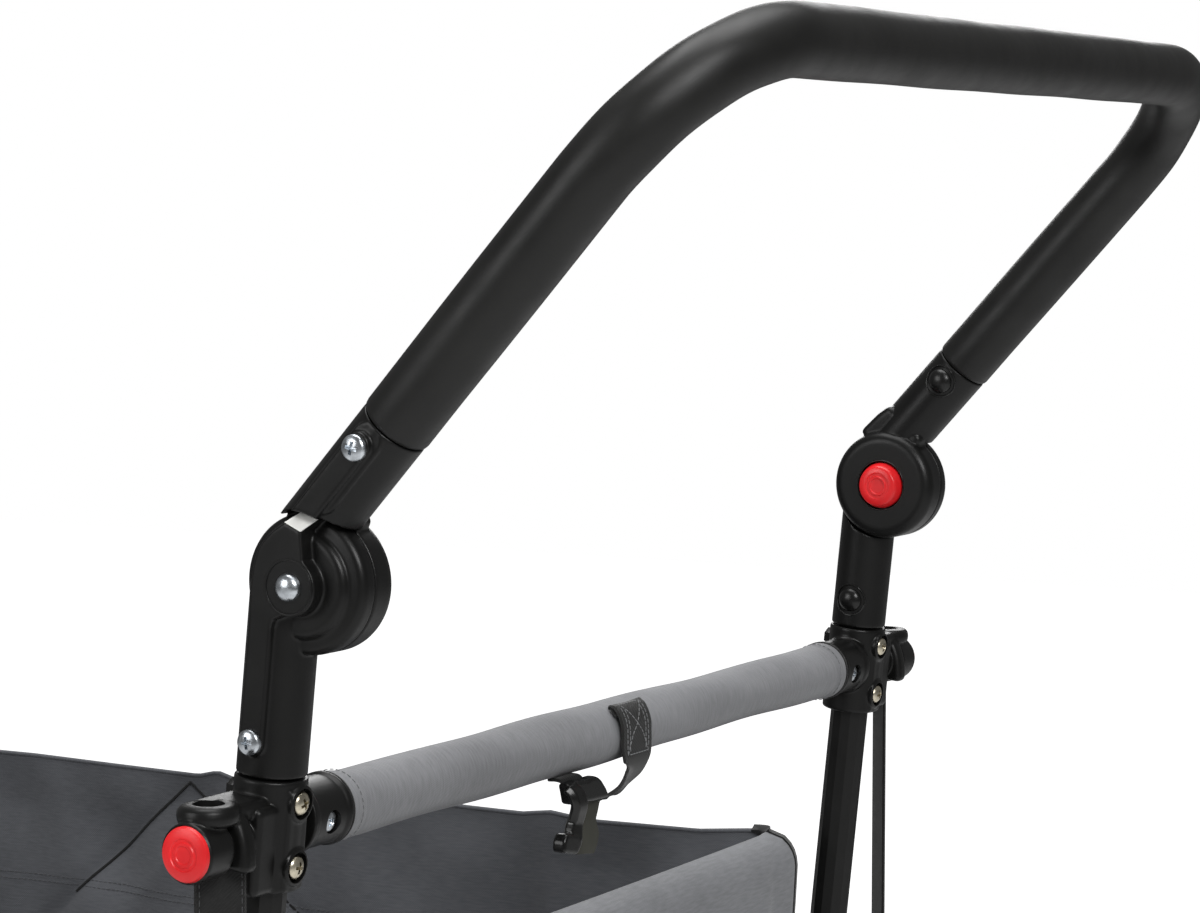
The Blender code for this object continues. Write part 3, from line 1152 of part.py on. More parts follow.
def joint_tree(wagon):
    """The empties of every moving body, each under the body that carries it."""
    at = link_points()

    def side_axis(name, point, parent):
        return joint(name, (point[0], 0, point[1]), parent)

    tree = {"root": wagon}
    tree["rear_inner_link"] = side_axis("fold_axis", at["rear_low"], wagon)
    tree["rear_outer_link"] = side_axis("rear_cross_axis", at["rear_cross"], tree["rear_inner_link"])
    tree["rear_slider"] = side_axis("rear_slider_axis", at["rear_high"], tree["rear_outer_link"])
    tree["front_outer_link"] = side_axis("middle_axis", at["middle_high"], tree["rear_inner_link"])
    tree["front_inner_link"] = side_axis("front_cross_axis", at["front_cross"], tree["front_outer_link"])
    tree["front_slider"] = side_axis("front_slider_axis", at["front_high"], tree["front_inner_link"])
    tree["front_frame"] = side_axis("front_foot_axis", at["front_low"], tree["front_outer_link"])
    tree["rear_floor"] = joint("rear_floor_axis", (BOARD_SET, 0, BOARD_AXIS_HEIGHT), wagon)
    tree["front_floor"] = joint(
        "front_floor_axis", (POST_SPAN - BOARD_SET, 0, BOARD_AXIS_HEIGHT), tree["front_frame"]
    )
    tree["handle"] = joint("handle_axis", (HINGE_X, 0, HINGE_HEIGHT), wagon)
    rail = on_post(RAIL_DROP)
    buckle_height = rail.z - COVER_DIAMETER / 2 - GAP - WEBBING_THICKNESS / 2 - 0.0085
    tree["buckle"] = joint("buckle_axis", (rail.x, BUCKLE_PLACE, buckle_height), wagon)
    tree["brake"] = joint("brake_axis", (-BRAKE_BACK, 0, BRAKE_HEIGHT), wagon)
    for side, name in ((1, "left"), (-1, "right")):
        hinge = (HINGE_X, side * PLANE, HINGE_HEIGHT)
        tree["button_" + name] = joint("button_axis_" + name, hinge, wagon)
        tree["pin_" + name] = joint("pin_axis_" + name, (rail.x, side * (PLANE + BARREL_OUT), rail.z), wagon)
        place = (0, side * (PLANE + REAR_WHEEL_OUT), REAR_AXLE_HEIGHT)
        tree["rear_wheel_" + name] = joint("rear_wheel_axis_" + name, place, wagon)
        place = (POST_SPAN, side * PLANE, FRONT_FOOT_BOTTOM)
        tree["caster_" + name] = joint("caster_axis_" + name, place, tree["front_frame"])
        place = (POST_SPAN - CASTER_TRAIL, side * PLANE, FRONT_AXLE_HEIGHT)
        tree["front_wheel_" + name] = joint("front_wheel_axis_" + name, place, tree["caster_" + name])
    return tree


def both(tree, name):
    return tree[name + "_left"], tree[name + "_right"]


def centre_on_origin(wagon):
    """Moves the whole wagon along X so that its bounding box is centred on the origin."""
    bpy.context.view_layer.update()
    reach = []
    for made in bpy.context.scene.objects:
        if made.type == "MESH":
            reach += [(made.matrix_world @ Vector(corner)).x for corner in made.bound_box]
    wagon.location.x = -(min(reach) + max(reach)) / 2


def main():
    for old in list(bpy.data.objects):
        bpy.data.objects.remove(old)
    wagon = joint("wagon", (0, 0, 0))
    tree = joint_tree(wagon)
    front = tree["front_frame"]
    make_posts(wagon, front)
    make_brackets(wagon, front, both(tree, "pin"))
    make_rails(wagon, front)
    make_rail_strap(wagon, tree["buckle"])
    make_lower_arms(wagon)
    make_locks(both(tree, "button"))
    make_pivot_bolts(wagon)
    make_upper_arms(tree["handle"])
    make_handle(tree["handle"])
    make_links(tree)
    make_sliders(tree["rear_slider"], tree["front_slider"])
    make_rear_beam(wagon)
    make_front_beam(front)
    make_rear_wheels(wagon, both(tree, "rear_wheel"))
    make_casters(both(tree, "caster"), both(tree, "front_wheel"))
    make_brake(tree["brake"])
    make_load_straps(wagon)
    make_tub(wagon)
    make_floor_boards(tree["rear_floor"], tree["front_floor"])
    centre_on_origin(wagon)


main()
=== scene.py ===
import json
from math import atan2, cos, exp, pi, radians, sin, sqrt

import bmesh
import bpy
import numpy as np
from mathutils import Matrix, Vector

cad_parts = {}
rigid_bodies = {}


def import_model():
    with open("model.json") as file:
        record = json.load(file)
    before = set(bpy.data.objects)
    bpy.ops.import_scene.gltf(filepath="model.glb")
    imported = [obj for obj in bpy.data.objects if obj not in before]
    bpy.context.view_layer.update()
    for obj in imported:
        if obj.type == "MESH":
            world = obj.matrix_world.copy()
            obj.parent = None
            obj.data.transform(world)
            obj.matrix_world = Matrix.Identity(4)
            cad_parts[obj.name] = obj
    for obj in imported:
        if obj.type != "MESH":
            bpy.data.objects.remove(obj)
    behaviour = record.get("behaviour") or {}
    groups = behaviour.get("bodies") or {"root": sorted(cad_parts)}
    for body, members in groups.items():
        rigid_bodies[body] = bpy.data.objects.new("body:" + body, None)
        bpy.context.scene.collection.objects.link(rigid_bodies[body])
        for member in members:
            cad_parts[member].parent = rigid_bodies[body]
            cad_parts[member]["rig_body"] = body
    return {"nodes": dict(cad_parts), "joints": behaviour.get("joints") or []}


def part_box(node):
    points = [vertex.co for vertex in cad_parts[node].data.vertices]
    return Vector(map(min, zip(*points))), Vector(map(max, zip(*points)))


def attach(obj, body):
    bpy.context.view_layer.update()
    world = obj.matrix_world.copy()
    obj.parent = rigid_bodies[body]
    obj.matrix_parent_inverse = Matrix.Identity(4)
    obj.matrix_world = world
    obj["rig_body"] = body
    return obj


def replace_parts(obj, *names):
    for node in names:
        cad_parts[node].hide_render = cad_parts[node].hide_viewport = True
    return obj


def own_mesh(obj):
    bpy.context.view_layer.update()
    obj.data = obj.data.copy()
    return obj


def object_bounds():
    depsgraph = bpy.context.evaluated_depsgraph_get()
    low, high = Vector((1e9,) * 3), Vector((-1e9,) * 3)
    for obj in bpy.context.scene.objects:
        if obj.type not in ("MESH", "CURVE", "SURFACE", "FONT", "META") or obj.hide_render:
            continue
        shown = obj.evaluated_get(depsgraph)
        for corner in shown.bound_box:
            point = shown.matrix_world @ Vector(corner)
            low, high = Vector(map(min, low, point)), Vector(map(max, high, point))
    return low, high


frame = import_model()
CAD_BOX = [list(corner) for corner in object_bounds()]
NODES = frame["nodes"]
JOINTS = {joint["name"]: joint for joint in frame["joints"]}


def joint_place(name):
    return Vector(JOINTS[name]["pos_m"])


# Places read from the frame, in metres
HINGE = joint_place("handle_angle")
PLANE = (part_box("rear_post_left")[0].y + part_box("rear_post_left")[1].y) / 2
REAR_X = joint_place("rear_spin_left").x
FRONT_X = joint_place("caster_swivel_left").x
MIDDLE_X = (REAR_X + FRONT_X) / 2
RAIL = (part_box("rear_rail")[0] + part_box("rear_rail")[1]) / 2
FRONT_RAIL = (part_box("front_rail")[0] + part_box("front_rail")[1]) / 2
TUB_LOW, TUB_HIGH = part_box("tub")

# Camera, fitted to the photograph's frame of 1200 x 913
CAMERA_PLACE = (-1.0824, 1.3370, 1.0291)
CAMERA_TURN = (85.63, 0.0, -150.02)
CAMERA_LENS = 99.5

# Hinge arms
POST_LEAN = radians(6.0)
HANDLE_LEAN = radians(42.6)
POST_OFFSET = 0.0125
HANDLE_OFFSET = 0.0141
ARM_RADIUS = 0.01435
HINGE_RADIUS = 0.02825
HINGE_INNER = -0.0170
HINGE_OUTER = 0.0098
HINGE_PARTING = -0.0020
GRIP_START = 0.0737
HANDLE_LENGTH = 0.274
HANDLE_BEND_RADIUS = 0.072
GRIP_RADIUS = 0.0148
LOWER_ARM_END = 0.0785
BRACKET_END = 0.1225
POST_RADIUS = 0.010
COVER_RADIUS = 0.0140
BUTTON_RADIUS = 0.0120
ARM_SCREW = 0.0622
LOWER_SCREW = 0.0640
PLATE_PROUD = 0.0025
PLATE_HALF = 0.0053
PLATE_CLEAR = 0.0300
BUTTON_PROUD = 0.0050

# Rear bracket with the socket of the canopy pole
SOCKET_OUT = 0.0390
SOCKET_TOP = 0.0840
SOCKET_BORE = 0.0130
SOCKET_RING = 0.0126
KNOB_RADIUS = 0.0122
KNOB_NECK = 0.0092
KNOB_DROP = 0.0036
KNOB_END = 0.0540
CUP_END = 0.0390
CLAMP_SCREWS = ((-0.0006, -0.0886), (-0.0003, -0.1146))

# Load straps
STRAP_TURN = radians(48.0)
STRAP_WIDTH = 0.0208

# Tub
WALL = 0.0012
TUB_INSET = 0.0035
TAPER_X = 0.017
TAPER_Y = 0.0215
RIM_FADE = 0.03
HEM_DEPTH = 0.0718
SHOULDER_OUT = 0.0175
SHOULDER_DEPTH = 0.0150
CREASE_X = 0.1152
CREASE_TOP = 0.0050
CREASE_SLOPE = 0.874
SEAM_X = -0.1380


# Materials


class Finish:
    """A material with its node tree, and short ways to add detail to it."""

    def __init__(self, name, colour, roughness, metallic=0.0, **sockets):
        self.material = bpy.data.materials.new(name)
        self.material.use_nodes = True
        self.tree = self.material.node_tree
        self.shader = self.tree.nodes["Principled BSDF"]
        self.set(self.shader, "Base Color", (*colour, 1.0))
        self.set(self.shader, "Roughness", roughness)
        self.set(self.shader, "Metallic", metallic)
        for socket, value in sockets.items():
            self.set(self.shader, socket.replace("_", " "), value)
        self.material.diffuse_color = (*colour, 1.0)
        self.colour = colour
        self.normal = None

    def set(self, node, socket, value):
        node.inputs[socket].default_value = value

    def node(self, kind, **settings):
        made = self.tree.nodes.new(kind)
        for name, value in settings.items():
            setattr(made, name, value)
        return made

    def join(self, start, end):
        self.tree.links.new(start, end)

    def place(self, source="Object"):
        found = self.tree.nodes.get("place") or self.node("ShaderNodeTexCoord", name="place")
        return found.outputs[source]

    def noise(self, scale, detail=3.0, stretch=None, source="Object", rough=0.5):
        made = self.node("ShaderNodeTexNoise")
        self.set(made, "Scale", scale)
        self.set(made, "Detail", detail)
        self.set(made, "Roughness", rough)
        start = self.place(source)
        if stretch:
            mapping = self.node("ShaderNodeMapping")
            self.set(mapping, "Scale", stretch)
            self.join(start, mapping.inputs["Vector"])
            start = mapping.outputs["Vector"]
        self.join(start, made.inputs["Vector"])
        return made.outputs["Fac"]

    def math(self, operation, first, second=None, third=None):
        made = self.node("ShaderNodeMath", operation=operation)
        for socket, value in zip(made.inputs, (first, second, third)):
            if value is None:
                continue
            if isinstance(value, (int, float)):
                socket.default_value = value
            else:
                self.join(value, socket)
        return made.outputs[0]

    def spread(self, value, low, high, start=0.3, end=0.7):
        """Maps a texture's middle values to a range."""
        made = self.node("ShaderNodeMapRange")
        for socket, number in (("From Min", start), ("From Max", end), ("To Min", low), ("To Max", high)):
            self.set(made, socket, number)
        self.join(value, made.inputs["Value"])
        return made.outputs["Result"]

    def bump(self, height, distance, strength=1.0):
        made = self.node("ShaderNodeBump")
        self.set(made, "Distance", distance)
        self.set(made, "Strength", strength)
        self.join(height, made.inputs["Height"])
        if self.normal:
            self.join(self.normal, made.inputs["Normal"])
        self.normal = made.outputs["Normal"]
        self.join(self.normal, self.shader.inputs["Normal"])

    def vary_roughness(self, value):
        self.join(value, self.shader.inputs["Roughness"])

    def vary_colour(self, factor, dark, light):
        """Mixes two shades of the colour, each a share of it."""
        mix = self.node("ShaderNodeMix", data_type="RGBA")
        self.join(factor, mix.inputs[0])
        mix.inputs[6].default_value = (*[c * dark for c in self.colour], 1.0)
        mix.inputs[7].default_value = (*[c * light for c in self.colour], 1.0)
        self.join(mix.outputs[2], self.shader.inputs["Base Color"])
        return mix

    def uneven(self, shade, gloss, *bumps):
        """Noise in the colour (scale, detail, dark, light), the gloss and the surface."""
        scale, detail, dark, light = shade
        mix = self.vary_colour(self.spread(self.noise(scale, detail), 0.0, 1.0), dark, light)
        scale, detail, low, high = gloss
        self.vary_roughness(self.spread(self.noise(scale, detail), low, high))
        for scale, detail, distance, strength in bumps:
            self.bump(self.noise(scale, detail), distance, strength)
        return mix

    def worn_edges(self, mix_into, bright):
        """Lightens sharp outer edges, as handling does."""
        geometry = self.node("ShaderNodeNewGeometry")
        lift = self.spread(geometry.outputs["Pointiness"], 0.0, 1.0, 0.56, 0.66)
        grain = self.noise(160, 4.0)
        amount = self.math("MULTIPLY", lift, self.spread(grain, 0.0, bright, 0.45, 0.65))
        mix = self.node("ShaderNodeMix", data_type="RGBA")
        self.join(amount, mix.inputs[0])
        self.join(mix_into.outputs[2], mix.inputs[6])
        mix.inputs[7].default_value = (0.12, 0.12, 0.115, 1.0)
        self.join(mix.outputs[2], self.shader.inputs["Base Color"])


def moulded(name, colour, roughness, grain=1500.0, depth=0.00003, specular=0.28):
    """Moulded plastic: a fine eroded grain, faint flow shades and uneven gloss."""
    made = Finish(name, colour, roughness, Specular_IOR_Level=specular)
    mix = made.uneven((45, 4.0, 0.82, 1.22), (28, 5.0, roughness - 0.06, roughness + 0.08),
                      (grain, 2.0, depth, 0.6), (70, 3.0, 0.00012, 0.15))
    made.worn_edges(mix, 0.35)
    return made.material


def powder_coat(name, colour, roughness):
    """Powder-coated steel: a low orange peel and a few scuffs."""
    made = Finish(name, colour, roughness, Specular_IOR_Level=0.3)
    made.uneven((30, 4.0, 0.8, 1.25), (90, 6.0, roughness - 0.05, roughness + 0.12),
                (650, 1.5, 0.00006, 0.5))
    return made.material


def foam(name, colour):
    """Closed-cell foam sleeve: a soft skin with fine cells."""
    made = Finish(name, colour, 0.44, Specular_IOR_Level=0.36)
    made.uneven((22, 5.0, 0.78, 1.25), (55, 6.0, 0.38, 0.50),
                (2100, 2.0, 0.00005, 0.55), (60, 4.0, 0.0003, 0.18))
    return made.material


def plated(name, colour, roughness):
    """Zinc or nickel plate: fine brushing and dull spots."""
    made = Finish(name, colour, roughness, 1.0)
    made.uneven((420, 4.0, 0.75, 1.1), (260, 5.0, roughness - 0.08, roughness + 0.15))
    made.bump(made.noise(1400, 2.0, (1.0, 1.0, 0.12)), 0.00002, 0.5)
    return made.material


def weave_height(made, pitch, twill=False):
    """Over-and-under threads on the metre UVs of a cloth piece."""
    split = made.node("ShaderNodeSeparateXYZ")
    made.join(made.place("UV"), split.inputs[0])
    turn = 2 * pi / pitch
    warp = made.math("MULTIPLY", split.outputs["X"], turn)
    weft = made.math("MULTIPLY", split.outputs["Y"], turn)
    if twill:
        slant = made.math("SINE", made.math("ADD", warp, weft))
        rib = made.math("SINE", made.math("MULTIPLY", warp, 2.0))
        return made.math("MULTIPLY_ADD", made.math("MULTIPLY", slant, 0.35), rib, 0.5)
    product = made.math("MULTIPLY", made.math("SINE", warp), made.math("SINE", weft))
    return made.math("MULTIPLY_ADD", product, 0.5, 0.5)


def cloth(name, colour, pitch=0.0011, sheen=0.25, mottle=0.3, depth=0.00012):
    """Woven polyester: threads from the UVs, slubs, faint shade changes and fine fibre noise."""
    made = Finish(name, colour, 0.82, Sheen_Weight=sheen, Sheen_Roughness=0.45, Specular_IOR_Level=0.3)
    threads = weave_height(made, pitch)
    slub = made.noise(900, 2.0, (1.0, 0.12, 1.0), "UV")
    patch = made.spread(made.noise(11, 5.0), -mottle, mottle)
    tone = made.math("ADD", made.math("MULTIPLY_ADD", threads, 0.55, patch), made.spread(slub, 0.0, 0.45))
    made.vary_colour(tone, 0.72, 1.24)
    made.vary_roughness(made.spread(made.noise(160, 4.0), 0.76, 0.9))
    made.bump(threads, depth, 0.7)
    made.bump(slub, 0.00006, 0.5)
    made.bump(made.noise(38, 4.0), 0.0008, 0.25)
    return made.material


def webbing(name, colour):
    """Narrow webbing: cross ribs with a twill line."""
    made = Finish(name, colour, 0.7, Sheen_Weight=0.25, Sheen_Roughness=0.4, Specular_IOR_Level=0.35)
    ribs = weave_height(made, 0.0016, twill=True)
    made.vary_colour(made.math("ADD", ribs, made.spread(made.noise(300, 3.0), -0.2, 0.2)), 0.6, 1.9)
    made.bump(ribs, 0.00022, 0.9)
    return made.material


def rubber(name, colour):
    made = Finish(name, colour, 0.72)
    made.uneven((60, 5.0, 0.75, 1.5), (200, 4.0, 0.62, 0.85), (900, 3.0, 0.00008, 0.6))
    return made.material


def stitching(name, colour):
    made = Finish(name, colour, 0.7, Sheen_Weight=0.3)
    made.vary_colour(made.noise(2500, 1.0, (1.0, 1.0, 3.0)), 0.7, 1.3)
    made.bump(made.noise(3500, 1.0), 0.00005, 0.6)
    return made.material


PLASTIC = moulded("nylon_black", (0.0058, 0.0058, 0.0056), 0.34)
SOFT_PLASTIC = moulded("nylon_gloss", (0.0052, 0.0052, 0.0050), 0.24, 1100.0, 0.00002, 0.4)
OLIVE_PLASTIC = moulded("nylon_olive", (0.040, 0.040, 0.032), 0.62)
STEEL = powder_coat("powder_coat_black", (0.0058, 0.0058, 0.0056), 0.36)
FOAM = foam("foam_grip", (0.0090, 0.0089, 0.0084))
RED = moulded("red_button", (0.80, 0.014, 0.018), 0.34, 1200.0, 0.00002, 0.5)
ZINC = plated("zinc_blue", (0.66, 0.70, 0.74), 0.24)
NICKEL = plated("nickel_warm", (0.72, 0.66, 0.52), 0.26)
# Near-white finish of the plate end's sloping ledge: painted highlight, standing in for the soft box's
# reflection on the steel.
LEDGE_HIGHLIGHT_PAINT = moulded("ledge_painted_highlight", (0.80, 0.80, 0.77), 0.45, 900.0, 0.00002, 0.5)
COVER_CLOTH = cloth("cover_cloth", (0.190, 0.193, 0.203), 0.0010)
TUB_CLOTH = cloth("tub_cloth", (0.098, 0.102, 0.112), 0.0013, 0.2, 0.35)
END_CLOTH = cloth("end_cloth", (0.205, 0.210, 0.222), 0.0012, 0.25, 0.2)
HEM_CLOTH = cloth("hem_cloth", (0.080, 0.083, 0.090), 0.0010)
BINDING = webbing("binding_tape", (0.0075, 0.0075, 0.0073))
WEBBING = webbing("strap_webbing", (0.0070, 0.0070, 0.0068))
THREAD = stitching("thread_grey", (0.16, 0.165, 0.17))
DARK_THREAD = stitching("thread_dark", (0.045, 0.046, 0.05))
RUBBER = rubber("tyre_rubber", (0.016, 0.016, 0.0158))
BOARD_CLOTH = cloth("board_cloth", (0.085, 0.087, 0.094), 0.0014)


# Mesh helpers


def around(count):
    """Evenly spaced angles of a full turn."""
    return np.linspace(0, 2 * pi, count + 1)[:-1]


def side_name(side):
    return "left" if side > 0 else "right"


def new_object(name, data):
    made = bpy.data.objects.new(name, data)
    bpy.context.scene.collection.objects.link(made)
    return made


def piece(name, shape, finish, body, smooth=38.0):
    """An object from a bmesh in the row's frame, riding on a body."""
    mesh = bpy.data.meshes.new(name)
    shape.normal_update()
    shape.to_mesh(mesh)
    shape.free()
    mesh.materials.append(finish)
    mesh.shade_smooth()
    mesh.set_sharp_from_angle(angle=radians(smooth))
    made = new_object(name, mesh)
    if body:
        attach(made, body)
    return made


def outward(shape):
    shape.normal_update()
    bmesh.ops.recalc_face_normals(shape, faces=shape.faces)
    return shape


def loft(rings, closed=False, caps=True):
    """Skins rings of equal count. The UVs are distances in metres along and around."""
    shape = bmesh.new()
    layer = shape.loops.layers.uv.new("UVMap")
    rows = [[shape.verts.new(point) for point in ring] for ring in rings]
    count = len(rows[0])
    along = [0.0]
    for a, b in zip(rings, rings[1:] + rings[:1]):
        along.append(along[-1] + (Vector(a[0]) - Vector(b[0])).length)
    girth = sum((Vector(rings[0][k]) - Vector(rings[0][(k + 1) % count])).length for k in range(count))
    last = len(rows) if closed else len(rows) - 1
    for i in range(last):
        first, second = rows[i], rows[(i + 1) % len(rows)]
        for k in range(count):
            m = (k + 1) % count
            face = shape.faces.new((first[k], first[m], second[m], second[k]))
            uvs = ((i, k), (i, k + 1), (i + 1, k + 1), (i + 1, k))
            for loop, (r, c) in zip(face.loops, uvs):
                loop[layer].uv = (along[r], girth * c / count)
    if not closed and caps:
        shape.faces.new(rows[0][::-1])
        shape.faces.new(rows[-1])
    return outward(shape) if caps or closed else shape


def turned(profile, sides=64, ring=False):
    """A solid turned about Z from (radius, height) points."""
    shape = bmesh.new()
    shape.loops.layers.uv.new("UVMap")
    rows = []
    for radius, height in profile:
        if radius < 1e-7:
            rows.append([shape.verts.new((0, 0, height))])
        else:
            turns = [2 * pi * i / sides for i in range(sides)]
            rows.append([shape.verts.new((radius * cos(a), radius * sin(a), height)) for a in turns])
    pairs = list(zip(rows, rows[1:]))
    if ring:
        pairs.append((rows[-1], rows[0]))
    for first, second in pairs:
        for i in range(sides):
            j = (i + 1) % sides
            corners = [first[i % len(first)], first[j % len(first)]]
            corners += [second[j % len(second)], second[i % len(second)]]
            corners = list(dict.fromkeys(corners))
            if len(corners) > 2:
                shape.faces.new(corners)
    if not ring:
        for row in (rows[0], rows[-1]):
            if len(row) > 1:
                shape.faces.new(row)
    return outward(shape)


def eased(profile, radius, steps=3):
    """A profile with its inner corners rounded by short arcs of at most that radius."""
    points = [Vector(p).to_2d() for p in profile]
    made = [points[0]]
    for before, corner, after in zip(points, points[1:], points[2:]):
        back, on = before - corner, after - corner
        reach = min(radius, back.length * 0.45, on.length * 0.45)
        start, end = corner + back.normalized() * reach, corner + on.normalized() * reach
        for i in range(steps + 1):
            t = i / steps
            made.append((1 - t) ** 2 * start + 2 * t * (1 - t) * corner + t ** 2 * end)
    made.append(points[-1])
    return [(max(p.x, 0.0), p.y) for p in made]


def rod(radius, start, end, sides=48, ease=0.0):
    start, end = Vector(start), Vector(end)
    length = (end - start).length
    profile = [(0, 0), (radius, 0), (radius, length), (0, length)]
    if ease:
        profile = eased(profile, ease)
    return aimed(turned(profile, sides), start, end - start)


def aimed(shape, start, direction):
    turn = Vector(direction).normalized().to_track_quat("Z", "X").to_matrix().to_4x4()
    shape.transform(Matrix.Translation(Vector(start)) @ turn)
    return shape


def plate(outline, low, high, matrix=None):
    """An outline in X and Z, its thickness from y = low to y = high."""
    shape = bmesh.new()
    shape.loops.layers.uv.new("UVMap")
    near = [shape.verts.new((x, low, z)) for x, z in outline]
    far = [shape.verts.new((x, high, z)) for x, z in outline]
    count = len(outline)
    shape.faces.new(near)
    shape.faces.new(far[::-1])
    for i in range(count):
        j = (i + 1) % count
        shape.faces.new((near[i], far[i], far[j], near[j]))
    if matrix:
        shape.transform(matrix)
    return outward(shape)


def arc(centre, radius, start, end, steps):
    turns = [start + (end - start) * i / steps for i in range(steps + 1)]
    return [(centre[0] + radius * cos(a), centre[1] + radius * sin(a)) for a in turns]


def slot(start, end, start_radius, end_radius, steps=14):
    heading = atan2(end[1] - start[1], end[0] - start[0])
    outline = arc(end, end_radius, heading - pi / 2, heading + pi / 2, steps)
    return outline + arc(start, start_radius, heading + pi / 2, heading + 3 * pi / 2, steps)


def softened(shape, width, segments=3, angle=30.0):
    """Rounds a shape's sharp edges."""
    edges = [e for e in shape.edges if len(e.link_faces) == 2 and e.calc_face_angle(0.0) > radians(angle)]
    bmesh.ops.bevel(shape, geom=edges, offset=width, segments=segments, profile=0.5, affect="EDGES")
    return outward(shape)


def joined(*shapes):
    """Puts shapes into one, without a Boolean."""
    result = bmesh.new()
    result.loops.layers.uv.new("UVMap")
    for shape in shapes:
        mesh = bpy.data.meshes.new("work")
        shape.to_mesh(mesh)
        shape.free()
        result.from_mesh(mesh)
        bpy.data.meshes.remove(mesh)
    return result


def as_object(shape):
    mesh = bpy.data.meshes.new("work")
    outward(shape).to_mesh(mesh)
    shape.free()
    return new_object("work", mesh)


def evaluated(work):
    graph = bpy.context.evaluated_depsgraph_get()
    result = bmesh.new()
    result.from_object(work, graph)
    return result


def discard(*objects):
    for work in objects:
        mesh = work.data
        bpy.data.objects.remove(work)
        bpy.data.meshes.remove(mesh)


def cut(shape, *tools):
    """Takes the tools' volumes out of a shape, one after the other."""
    base = as_object(shape)
    cutters = [as_object(tool) for tool in tools]
    for cutter in cutters:
        modifier = base.modifiers.new("cut", "BOOLEAN")
        modifier.operation = "DIFFERENCE"
        modifier.solver = "EXACT"
        modifier.object = cutter
    result = evaluated(base)
    discard(base, *cutters)
    return result


def fused(shape, voxel=0.0006, rounds=6):
    """Fuses overlapping closed shapes into one skin with moulded fillets."""
    voxel, rounds = ((voxel, rounds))
    work = as_object(shape)
    remesh = work.modifiers.new("fuse", "REMESH")
    remesh.mode = "VOXEL"
    remesh.voxel_size = voxel
    smooth = work.modifiers.new("ease", "SMOOTH")
    smooth.factor = 0.5
    smooth.iterations = rounds
    result = evaluated(work)
    discard(work)
    return result


def mirrored(shape):
    """The right-hand copy of a left-hand shape."""
    other = shape.copy()
    bmesh.ops.scale(other, verts=other.verts, vec=(1, -1, 1))
    bmesh.ops.reverse_faces(other, faces=other.faces)
    return other


def pair(name, shape, finish, bodies, smooth=38.0, stands_for=None):
    """The left piece and its mirror image, each on its own body."""
    made = []
    for side, body, form in (("left", bodies[0], shape.copy()), ("right", bodies[1], mirrored(shape))):
        new = piece(f"{name}_{side}", form, finish, body, smooth)
        if stands_for:
            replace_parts(new, f"{stands_for}_{side}")
        made.append(new)
    shape.free()
    return made


REAR = ("rear_frame", "rear_frame")
HANDLE = ("handle", "handle")
FRONT = ("front_frame", "front_frame")


# Frames of the hinge's two arms: X forward, Y outward, Z up along the arm
HINGE_LEFT = Vector((HINGE.x, PLANE, HINGE.z))
LOWER = Matrix.Translation(HINGE_LEFT) @ Matrix.Rotation(-POST_LEAN, 4, "Y")
UPPER = Matrix.Translation(HINGE_LEFT) @ Matrix.Rotation(-HANDLE_LEAN, 4, "Y")


def in_frame(shape, matrix):
    shape.transform(matrix)
    return shape


def hinge_turned(profile, sides=96):
    """Turned about the hinge axis, in an arm's frame. Heights are distances outward."""
    return aimed(turned(profile, sides), (0, 0, 0), (0, 1, 0))


# Screws and caps


def phillips_head(radius, height):
    """A domed screw head with a cross recess, about Z, its seat at z = 0."""
    dome = [(radius * sin(a), height * (0.35 + 0.65 * cos(a))) for a in (0.0, 0.35, 0.7, 1.0, 1.25, 1.5)]
    profile = [(0, dome[0][1])] + dome[1:] + [(radius, height * 0.2), (radius, -0.0006), (0, -0.0006)]
    head = turned(profile[::-1], 40)
    wing, depth = radius * 0.62, height * 0.85
    arms = []
    for turn in (0.0, pi / 2):
        outline = [(-wing, height + 0.001), (wing, height + 0.001), (wing * 0.45, height - depth)]
        outline += [(-wing * 0.45, height - depth)]
        arm = plate(outline, -radius * 0.13, radius * 0.13)
        arm.transform(Matrix.Rotation(turn, 4, "Z"))
        arms.append(arm)
    return cut(head, *arms)


def washer_groove(radius):
    """A thin raised lip round a screw or a cap, about Z."""
    turns = [2 * pi * i / 12 for i in range(12)]
    profile = [(radius + 0.0004 * cos(a), 0.0004 * sin(a)) for a in turns]
    return turned(profile, 48, ring=True)


def domed_cap(radius, height):
    """Black push-in cap with a domed face, about Z."""
    dome = [(radius * sin(a), height * cos(a)) for a in (0.0, 0.3, 0.6, 0.9, 1.2, 1.45)]
    profile = [(0, height)] + dome[1:] + [(radius, -0.0008), (0, -0.0008)]
    return turned(profile[::-1], 48)


def set_on(shape, place, direction, spin=0.0):
    shape.transform(Matrix.Rotation(spin, 4, "Z"))
    return aimed(shape, place, direction)


# Push handle


def handle_point(along, offset=HANDLE_OFFSET, out=0.0):
    return UPPER @ Vector((offset, out, along))


def grip_path():
    """Centre line of the U-shaped handle with its round bends."""
    corners = [handle_point(GRIP_START), handle_point(HANDLE_LENGTH)]
    corners += [handle_point(HANDLE_LENGTH, out=-2 * PLANE), handle_point(GRIP_START, out=-2 * PLANE)]
    path = [corners[0].lerp(corners[1], k / 8) for k in range(5)]
    for before, corner, after in zip(corners, corners[1:], corners[2:]):
        back, on = (before - corner).normalized(), (after - corner).normalized()
        start, end = corner + back * HANDLE_BEND_RADIUS, corner + on * HANDLE_BEND_RADIUS
        centre = corner + (back + on) * HANDLE_BEND_RADIUS
        first, last = start - centre, end - centre
        sweep = first.angle(last)
        for i in range(25):
            a = sweep * i / 24
            path.append(centre + (first * sin(sweep - a) + last * sin(a)) / sin(sweep))
        if after is corners[2]:
            far_start = corners[2] + (corners[1] - corners[2]).normalized() * HANDLE_BEND_RADIUS
            path += [end.lerp(far_start, k / 30) for k in range(1, 30)]
    path += [corners[3].lerp(corners[2], k / 8) for k in range(4, -1, -1)]
    return path


